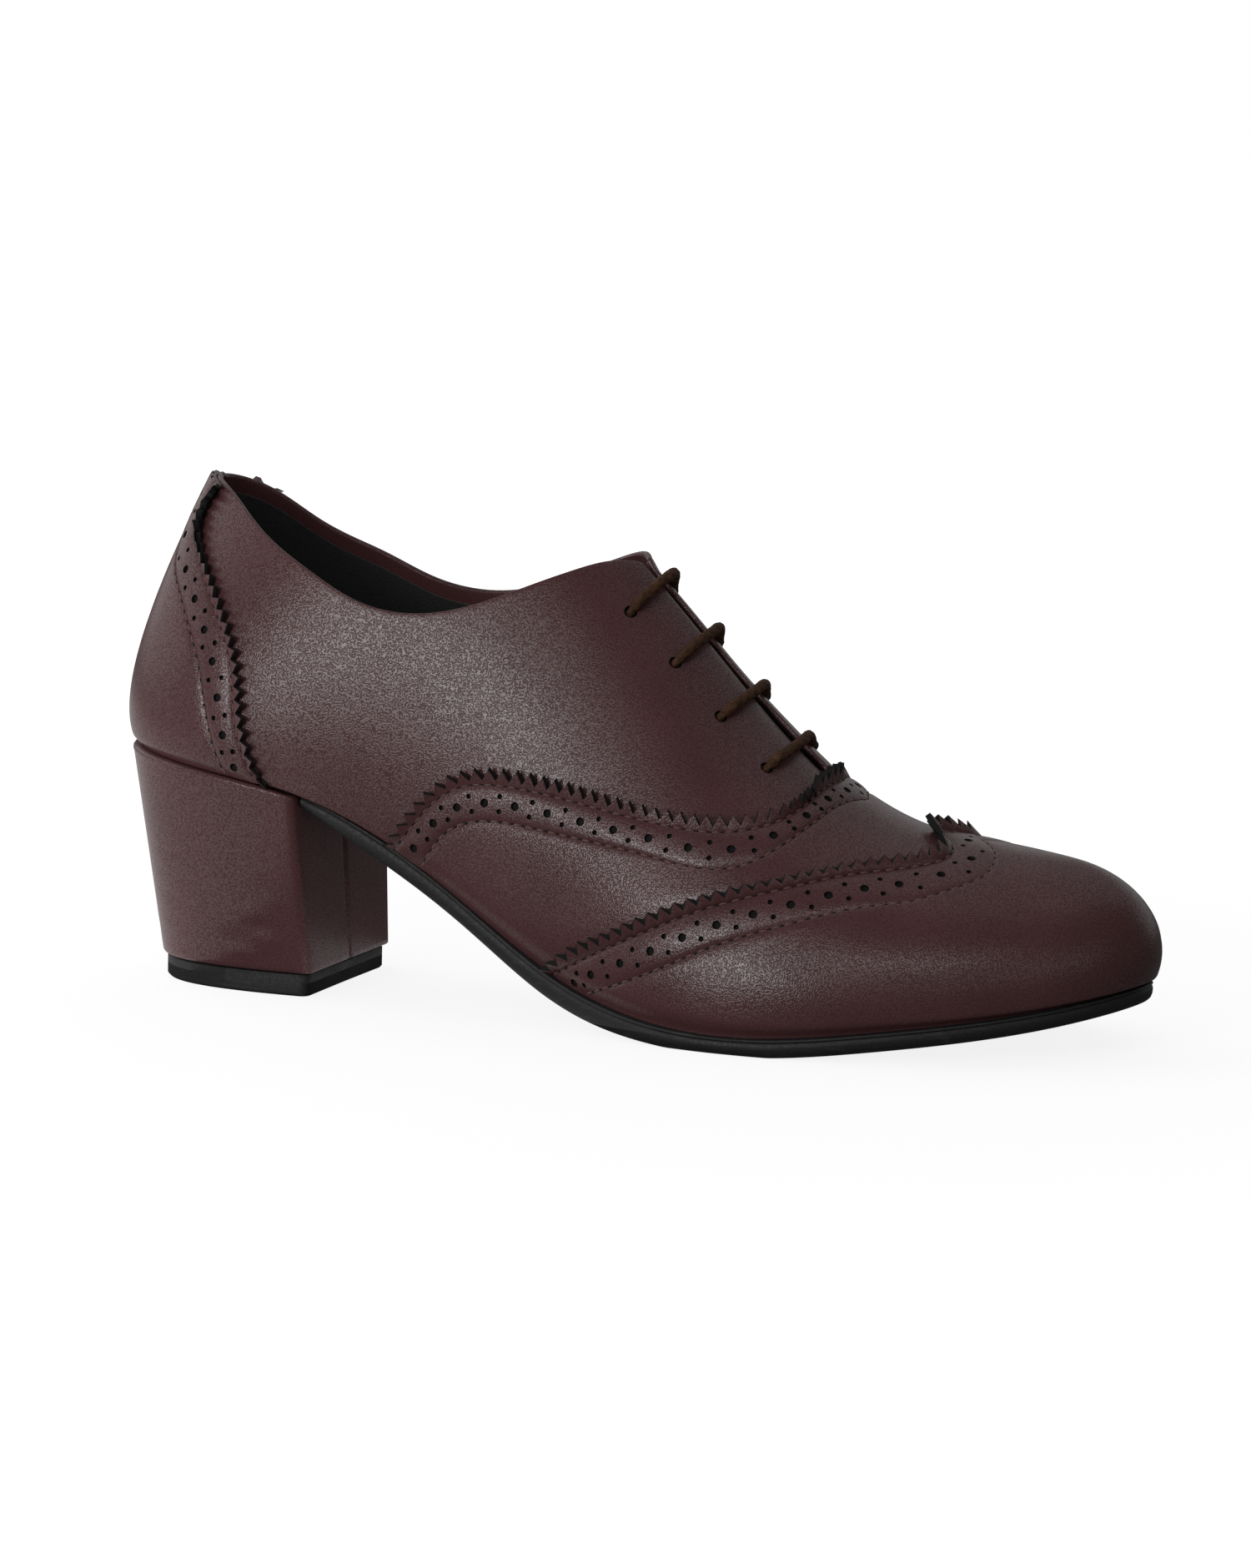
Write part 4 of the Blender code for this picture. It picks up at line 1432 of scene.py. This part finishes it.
HEEL_ROUND = 90
HEEL_CORNER = 0.0022
BREAST_HALF = np.array((0, 0.12, 0.25, 0.38, 0.455, 0.482, 0.494))
BREAST_STEPS = np.concatenate((BREAST_HALF, (0.5,), 1 - BREAST_HALF[::-1]))
BREAST_GROOVE = 0.0007
BREAST_GROOVE_WIDTH = 0.012
CORNER_STEPS = (0.2, 0.4, 0.6, 0.8)


def along_line(points, places):
    """Points at distances along a row of points."""
    way = way_along(points)
    return np.stack([np.interp(places, way, points[:, axis]) for axis in range(3)], -1)


def rounded_corner(before, corner, after):
    """Points of a soft corner between two straight runs."""
    share = np.array(CORNER_STEPS)[:, None]
    return before * (1 - share) ** 2 + corner * (2 * share * (1 - share)) + after * share**2


def heel_loop(side_points, groove):
    """Closed ring round the heel: lateral side, back, medial side, and across the breast with its seam."""
    length = way_along(side_points)[-1]
    run = along_line(side_points, np.linspace(HEEL_CORNER, length - HEEL_CORNER, HEEL_ROUND))
    medial = side_points[-1]
    lateral = side_points[0]
    across = unit(lateral - medial)
    width = np.linalg.norm(lateral - medial)
    steps = mix(HEEL_CORNER, width - HEEL_CORNER, BREAST_STEPS)
    breast = medial + across * steps[:, None]
    seam = np.exp(-(((BREAST_STEPS - 0.5) / BREAST_GROOVE_WIDTH) ** 2))
    breast[:, 0] -= groove * seam
    first = rounded_corner(run[-1], medial, breast[0])
    last = rounded_corner(breast[-1], lateral, run[0])
    return np.concatenate((run, first, breast, last))


def drawn_in(ring, inset):
    """Ring moved level towards its middle."""
    middle = (ring.max(0) + ring.min(0)) / 2
    away = (ring - middle) * (1, 1, 0)
    return ring - unit(away) * inset


# Rows of the heel cover from the top: share of the way down, metres in
HeelRow = namedtuple("HeelRow", "share inset")
HEEL_TOP = (
    HeelRow(0.0, 0.0030),
    HeelRow(0.0, 0.0012),
    HeelRow(0.005, 0.0004),
    HeelRow(0.014, 0.0),
    HeelRow(0.024, -0.0001),
)
HEEL_FOOT = (
    HeelRow(0.988, 0.0),
    HeelRow(0.996, 0.0002),
    HeelRow(1.0, 0.0006),
    HeelRow(1.0, 0.0022),
)
HEEL_MIDDLE = np.linspace(0.04, 0.97, 40)
HEEL_STATIONS = 161
TIP_ROWS = (
    HeelRow(0.0, 0.0012),
    HeelRow(0.0, 0.0002),
    HeelRow(0.05, 0.0),
    HeelRow(0.9, 0.0),
    HeelRow(1.0, 0.0005),
)
WRINKLE = 0.00012
WRINKLE_RUN = 0.050
WRINKLE_LOW = (0.35, 0.75)
WRINKLE_FOOT = (0.92, 0.98)
WRINKLE_BACK = (0.05, 0.35)
WRINKLE_FRONT = (0.75, 0.92)


def heel_folds(ring, share):
    """Soft slanting folds low on the sides of the heel cover, metres out."""
    run = (ring[:, 0] + HEEL_REACH) / WRINKLE_RUN
    low = smoothstep(*WRINKLE_LOW, share) * (1 - smoothstep(*WRINKLE_FOOT, share))
    side = smoothstep(*WRINKLE_BACK, run) * (1 - smoothstep(*WRINKLE_FRONT, run))
    broad = np.sin(2 * np.pi * (5 * share + 2.5 * run))
    fine = np.sin(2 * np.pi * (9 * share - 1.5 * run))
    return WRINKLE * low * side * (broad + 0.6 * fine)


def add_heel(leather, rubber):
    """Leather-covered heel block and its rubber top piece."""
    breast = station_at(BREAST_TOP_X)
    places = breast * np.linspace(-1, 1, HEEL_STATIONS)
    top, foot = heel_points(places, breast)
    middle_rows = [HeelRow(share, 0.0) for share in HEEL_MIDDLE]
    rings = []
    for row in HEEL_TOP + tuple(middle_rows) + HEEL_FOOT:
        ring = heel_loop(mix(top, foot, row.share), BREAST_GROOVE)
        rings.append(drawn_in(ring, row.inset - heel_folds(ring, row.share)[:, None]))
    add_loft("heel_cover", rings, (leather,), ("heel_block",))
    middle = np.array(((BREAST_FOOT_X + foot[len(foot) // 2, 0]) / 2, SIDE_SHIFT, 0))
    plan = middle + (foot * (1, 1, 0) - middle) * TIP_SCALE
    rings = []
    for row in TIP_ROWS:
        ring = heel_loop(plan + UP * TIP_HEIGHT * (1 - row.share), 0)
        rings.append(drawn_in(ring, row.inset))
    add_loft("top_piece", rings, (rubber,), ("heel_tip",))


# Stage

FLOOR_SIZE = 6.0
SENSOR = 36.0


def add_floor(studio):
    """Plain pale floor under the shoe."""
    shape = bmesh.new()
    bmesh.ops.create_grid(shape, x_segments=8, y_segments=8, size=FLOOR_SIZE)
    mesh = bpy.data.meshes.new("floor")
    shape.to_mesh(mesh)
    shape.free()
    mesh.materials.append(paper_finish(studio.paper_colour))
    floor = bpy.data.objects.new("floor", mesh)
    floor.visible_diffuse = False
    floor.visible_glossy = False
    bpy.context.scene.collection.objects.link(floor)


def add_camera(studio):
    """Camera at the photograph's angle, level with a small roll."""
    azimuth, elevation, roll = studio.azimuth, studio.elevation, studio.roll
    ahead = Vector((
        -np.sin(azimuth) * np.cos(elevation),
        np.cos(azimuth) * np.cos(elevation),
        -np.sin(elevation),
    ))
    level = Vector((np.cos(azimuth), np.sin(azimuth), 0))
    upright = level.cross(ahead)
    right = level * np.cos(roll) + upright * np.sin(roll)
    up = upright * np.cos(roll) - level * np.sin(roll)
    lens = bpy.data.cameras.new("camera")
    lens.lens = studio.lens
    lens.sensor_width = SENSOR
    camera = bpy.data.objects.new("camera", lens)
    camera.matrix_world = Matrix((right, up, -ahead)).transposed().to_4x4()
    camera.location = Vector(studio.target) - ahead * studio.distance
    bpy.context.scene.collection.objects.link(camera)
    bpy.context.scene.camera = camera


# Softboxes: where they stand and how large they are, metres, their roll in degrees and share of the light
Softbox = namedtuple("Softbox", "name place width height roll share")
SOFTBOXES = (
    Softbox("key", (-0.60, -1.66, 0.42), 0.95, 0.37, 18, 0.79),
    Softbox("strip", (0.22, -1.60, 1.00), 1.40, 0.26, 4, 0.33),
    Softbox("left", (-1.25, 0.12, 0.80), 2.4, 1.5, 0, 0.95),
    Softbox("fill", (1.3, -1.2, 0.45), 2.0, 0.8, 0, 0.17),
    Softbox("top", (0.1, 0.5, 1.6), 2.0, 2.0, 0, 0.36),
    Softbox("back", (0.2, 1.6, 0.6), 2.6, 1.0, 0, 0.30),
    Softbox("bounce", (-0.5, 0.1, 0.003), 0.8, 0.8, 0, 0.13),
    Softbox("under", (-0.02, 0.0, 0.003), 0.10, 0.08, 0, 0.0009),
)
SOFTBOX_AIM = Vector((0, 0, 0.05))


def add_softbox(box, power):
    """Rectangular soft light aimed at the shoe, or straight up where it lies on the floor."""
    lamp = bpy.data.lights.new(box.name, "AREA")
    lamp.shape = "RECTANGLE"
    lamp.size = box.width
    lamp.size_y = box.height
    lamp.energy = power * box.share
    item = bpy.data.objects.new(box.name, lamp)
    item.location = box.place
    aim = SOFTBOX_AIM if box.place[2] > SOFTBOX_AIM.z else Vector((*box.place[:2], 1))
    turn = (aim - Vector(box.place)).to_track_quat("-Z", "Y").to_matrix()
    item.rotation_euler = (turn @ Matrix.Rotation(np.radians(box.roll), 3, "Z")).to_euler()
    item.visible_camera = False
    bpy.context.scene.collection.objects.link(item)


def light_world(studio):
    """White backdrop to the camera, and a dimmer even light on the shoe."""
    scene = bpy.context.scene
    scene.view_settings.view_transform = "Standard"
    world = bpy.data.worlds.new("studio")
    world.use_nodes = True
    tree = world.node_tree
    tree.nodes.clear()
    seen = tree.nodes.new("ShaderNodeLightPath").outputs["Is Camera Ray"]
    dim = tree.nodes.new("ShaderNodeBackground")
    dim.inputs["Strength"].default_value = studio.ambient
    white = tree.nodes.new("ShaderNodeBackground")
    white.inputs["Color"].default_value = opaque(studio.paper_colour)
    choice = tree.nodes.new("ShaderNodeMixShader")
    result = tree.nodes.new("ShaderNodeOutputWorld")
    tree.links.new(seen, choice.inputs[0])
    tree.links.new(dim.outputs[0], choice.inputs[1])
    tree.links.new(white.outputs[0], choice.inputs[2])
    tree.links.new(choice.outputs[0], result.inputs[0])
    scene.world = world


# Sizes and colours that a user would change


class OxfordLeather(bpy.types.PropertyGroup):
    """Leather of the upper and heel."""

    colour: FloatVectorProperty(
        name="Colour",
        description="Burgundy of the leather",
        subtype="COLOR",
        size=3,
        min=0,
        max=1,
        default=(0.116, 0.0455, 0.048),
    )
    gloss: FloatProperty(
        name="Gloss",
        description="Strength of the leather's sheen",
        subtype="FACTOR",
        min=0,
        max=1,
        default=0.44,
    )
    roughness: FloatProperty(
        name="Roughness",
        description="Softness of the leather's sheen",
        subtype="FACTOR",
        min=0,
        max=1,
        default=0.28,
    )
    grain_size: FloatProperty(
        name="Grain size",
        description="Width of one pebble of the grain",
        unit="LENGTH",
        precision=5,
        default=0.00034,
    )
    grain_depth: FloatProperty(
        name="Grain depth",
        description="Depth of the creases between pebbles",
        unit="LENGTH",
        precision=6,
        default=0.00002,
    )


class OxfordTrim(bpy.types.PropertyGroup):
    """Pinked edges, punched holes and stitching."""

    # The cut-edge black also colours the painted shade in the needle holes and under the pinked teeth.
    raw_and_shade_colour: FloatVectorProperty(
        name="Cut edge",
        description="Dyed cut edge and back of the leather",
        subtype="COLOR",
        size=3,
        min=0,
        max=1,
        default=(0.006, 0.005, 0.005),
    )
    thread_colour: FloatVectorProperty(
        name="Thread",
        description="Stitching thread",
        subtype="COLOR",
        size=3,
        min=0,
        max=1,
        default=(0.190, 0.102, 0.090),
    )
    tooth_pitch: FloatProperty(
        name="Tooth pitch",
        description="Distance between the teeth of a pinked edge",
        unit="LENGTH",
        precision=5,
        default=0.0030,
    )
    tooth_depth: FloatProperty(
        name="Tooth depth",
        description="Depth of the teeth of a pinked edge",
        unit="LENGTH",
        precision=5,
        default=0.0029,
    )
    hole_pitch: FloatProperty(
        name="Hole pitch",
        description="Distance between large punched holes",
        unit="LENGTH",
        precision=5,
        default=0.0082,
    )
    large_hole: FloatProperty(
        name="Large hole",
        description="Diameter of a large punched hole",
        unit="LENGTH",
        precision=5,
        default=0.00195,
    )
    small_hole: FloatProperty(
        name="Small hole",
        description="Diameter of a small punched hole",
        unit="LENGTH",
        precision=5,
        default=0.0012,
    )
    stitch_pitch: FloatProperty(
        name="Stitch pitch",
        description="Distance from one stitch to the next",
        unit="LENGTH",
        precision=5,
        default=0.00285,
    )
    stitch_length: FloatProperty(
        name="Stitch length",
        description="Length of thread that shows in one stitch",
        unit="LENGTH",
        precision=5,
        default=0.0019,
    )
    thread_width: FloatProperty(
        name="Thread width",
        description="Thickness of the thread",
        unit="LENGTH",
        precision=5,
        default=0.00055,
    )


class OxfordLace(bpy.types.PropertyGroup):
    """Round waxed lace."""

    colour: FloatVectorProperty(
        name="Colour",
        description="Brown of the waxed braid",
        subtype="COLOR",
        size=3,
        min=0,
        max=1,
        default=(0.080, 0.036, 0.018),
    )
    radius: FloatProperty(
        name="Radius",
        description="Half the lace's thickness",
        unit="LENGTH",
        precision=5,
        default=0.0012,
    )


class OxfordSole(bpy.types.PropertyGroup):
    """Sole, top piece and lining."""

    sole_colour: FloatVectorProperty(
        name="Sole",
        description="Black of the sole's edge",
        subtype="COLOR",
        size=3,
        min=0,
        max=1,
        default=(0.014, 0.013, 0.015),
    )
    tip_colour: FloatVectorProperty(
        name="Top piece",
        description="Black rubber under the heel",
        subtype="COLOR",
        size=3,
        min=0,
        max=1,
        default=(0.016, 0.015, 0.017),
    )
    lining_colour: FloatVectorProperty(
        name="Lining",
        description="Black lining cloth",
        subtype="COLOR",
        size=3,
        min=0,
        max=1,
        default=(0.012, 0.012, 0.013),
    )
    rib_pitch: FloatProperty(
        name="Rib pitch",
        description="Distance between the ribs of the lining cloth",
        unit="LENGTH",
        precision=5,
        default=0.0008,
    )


class OxfordStudio(bpy.types.PropertyGroup):
    """Camera and light."""

    azimuth: FloatProperty(
        name="Azimuth",
        description="Camera turn from the side",
        subtype="ANGLE",
        default=0.35116,
    )
    elevation: FloatProperty(
        name="Elevation",
        description="Camera tilt down",
        subtype="ANGLE",
        default=0.14416,
    )
    roll: FloatProperty(name="Roll", description="Camera roll", subtype="ANGLE", default=0.02234)
    distance: FloatProperty(name="Distance", description="Camera to target", unit="LENGTH", default=1.2501)
    lens: FloatProperty(name="Lens", description="Focal length in millimetres", default=128.8)
    target: FloatVectorProperty(
        name="Target",
        description="Point at the middle of the picture",
        subtype="XYZ",
        unit="LENGTH",
        size=3,
        default=(-0.00195, 0.0017, 0.0505),
    )
    power: FloatProperty(
        name="Power",
        description="Watts shared out to the softboxes",
        unit="POWER",
        default=9.1,
    )
    ambient: FloatProperty(name="Ambient", description="Even light from all round", min=0, default=0.09)
    paper_colour: FloatVectorProperty(
        name="Paper",
        description="Pale floor and backdrop",
        subtype="COLOR",
        size=3,
        min=0,
        max=1,
        default=(1.0, 1.0, 1.0),
    )


GROUPS = {
    "oxford_leather": OxfordLeather,
    "oxford_trim": OxfordTrim,
    "oxford_lace": OxfordLace,
    "oxford_sole": OxfordSole,
    "oxford_studio": OxfordStudio,
}


# Materials are made once and shared; a sheen is a roughness and a share of worn specks

SOLE_SHEEN = (0.52, 0.5)
TIP_SHEEN = (0.6, 0.3)


def shared_finish(name, make, *values):
    """Material of a name, made on its first use."""
    return bpy.data.materials.get(name) or make(name, *values)


def burgundy(scene):
    """Leather of the upper."""
    look = scene.oxford_leather
    return shared_finish("burgundy_leather_grain", leather_finish, look.colour, look)


def black_cut_and_shade(scene):
    """Cut faces and backs of the leather, and painted shade in the needle holes and under the pinked teeth.
    """
    return bpy.data.materials.get("raw_cut_and_painted_shade") or raw_and_shade_finish(scene.oxford_trim)


class OXFORD_OT_stage(bpy.types.Operator):
    """Set the camera, the softboxes and the pale floor"""

    bl_idname = "oxford.stage"
    bl_label = "Stage"

    def execute(self, context):
        studio = context.scene.oxford_studio
        light_world(studio)
        add_floor(studio)
        add_camera(studio)
        for box in SOFTBOXES:
            add_softbox(box, studio.power)
        return {"FINISHED"}


class OXFORD_OT_quarters(bpy.types.Operator):
    """Make the quarters with their eyelets"""

    bl_idname = "oxford.quarters"
    bl_label = "Quarters"

    def execute(self, context):
        add_quarters(burgundy(context.scene), black_cut_and_shade(context.scene))
        return {"FINISHED"}


class OXFORD_OT_linings(bpy.types.Operator):
    """Make the lining cloth, the collar's turned-in band and the insole sock"""

    bl_idname = "oxford.linings"
    bl_label = "Linings"

    def execute(self, context):
        sole = context.scene.oxford_sole
        add_lining(shared_finish("ribbed_cloth", cloth_finish, sole.lining_colour, sole.rib_pitch))
        add_collar_facing(burgundy(context.scene), black_cut_and_shade(context.scene))
        look = context.scene.oxford_leather
        add_sock(shared_finish("black_sock", leather_finish, sole.lining_colour, look))
        return {"FINISHED"}


class OXFORD_OT_panels(bpy.types.Operator):
    """Make the vamp, the wing cap and the heel counter with pinked edges and punched bands"""

    bl_idname = "oxford.panels"
    bl_label = "Panels"

    def execute(self, context):
        for panel in PANELS:
            add_panel(panel, burgundy(context.scene), black_cut_and_shade(context.scene), context.scene.oxford_trim)
        return {"FINISHED"}


class OXFORD_OT_stitches(bpy.types.Operator):
    """Sew two rows of stitches along each panel's band"""

    bl_idname = "oxford.stitches"
    bl_label = "Stitches"

    def execute(self, context):
        trim = context.scene.oxford_trim
        thread = thread_finish(trim)
        for panel in PANELS:
            add_stitches(panel, thread, black_cut_and_shade(context.scene), trim)
        return {"FINISHED"}


class OXFORD_OT_tongue(bpy.types.Operator):
    """Make the tongue"""

    bl_idname = "oxford.tongue"
    bl_label = "Tongue"

    def execute(self, context):
        add_tongue(burgundy(context.scene), black_cut_and_shade(context.scene))
        return {"FINISHED"}


class OXFORD_OT_lace(bpy.types.Operator):
    """Run the lace through the eyelets"""

    bl_idname = "oxford.lace"
    bl_label = "Lace"

    def execute(self, context):
        lace = context.scene.oxford_lace
        add_lace(cord_finish(lace), lace)
        return {"FINISHED"}


class OXFORD_OT_outsole(bpy.types.Operator):
    """Make the outsole"""

    bl_idname = "oxford.outsole"
    bl_label = "Outsole"

    def execute(self, context):
        sole = context.scene.oxford_sole
        add_outsole(shared_finish("sole_edge", rubber_finish, sole.sole_colour, *SOLE_SHEEN))
        return {"FINISHED"}


class OXFORD_OT_heel(bpy.types.Operator):
    """Make the covered heel and its rubber top piece"""

    bl_idname = "oxford.heel"
    bl_label = "Heel"

    def execute(self, context):
        sole = context.scene.oxford_sole
        tip = shared_finish("top_piece_rubber", rubber_finish, sole.tip_colour, *TIP_SHEEN)
        add_heel(burgundy(context.scene), tip)
        return {"FINISHED"}


OPERATORS = (
    OXFORD_OT_stage,
    OXFORD_OT_quarters,
    OXFORD_OT_linings,
    OXFORD_OT_panels,
    OXFORD_OT_stitches,
    OXFORD_OT_tongue,
    OXFORD_OT_lace,
    OXFORD_OT_outsole,
    OXFORD_OT_heel,
)


class OXFORD_PT_pieces(bpy.types.Panel):
    """Pieces of the shoe and the sizes that change them"""

    bl_idname = "OXFORD_PT_pieces"
    bl_label = "Wing-tip oxford"
    bl_space_type = "VIEW_3D"
    bl_region_type = "UI"
    bl_category = "Oxford"

    def draw(self, context):
        for operator in OPERATORS:
            self.layout.operator(operator.bl_idname)
        for name, group in GROUPS.items():
            self.layout.label(text=group.__doc__)
            for field in group.__annotations__:
                self.layout.prop(getattr(context.scene, name), field)


def register():
    """Add the classes and their settings."""
    for group in GROUPS.values():
        bpy.utils.register_class(group)
    for name, group in GROUPS.items():
        setattr(bpy.types.Scene, name, PointerProperty(type=group))
    for operator in OPERATORS:
        bpy.utils.register_class(operator)
    bpy.utils.register_class(OXFORD_PT_pieces)


def unregister():
    """Take the classes and their settings away."""
    bpy.utils.unregister_class(OXFORD_PT_pieces)
    for operator in reversed(OPERATORS):
        bpy.utils.unregister_class(operator)
    for name, group in GROUPS.items():
        delattr(bpy.types.Scene, name)
        bpy.utils.unregister_class(group)


def main():
    """Register the classes and build every piece in order."""
    register()
    for operator in OPERATORS:
        getattr(bpy.ops.oxford, operator.bl_idname.split(".")[1])()


if __name__ == "__main__":
    main()
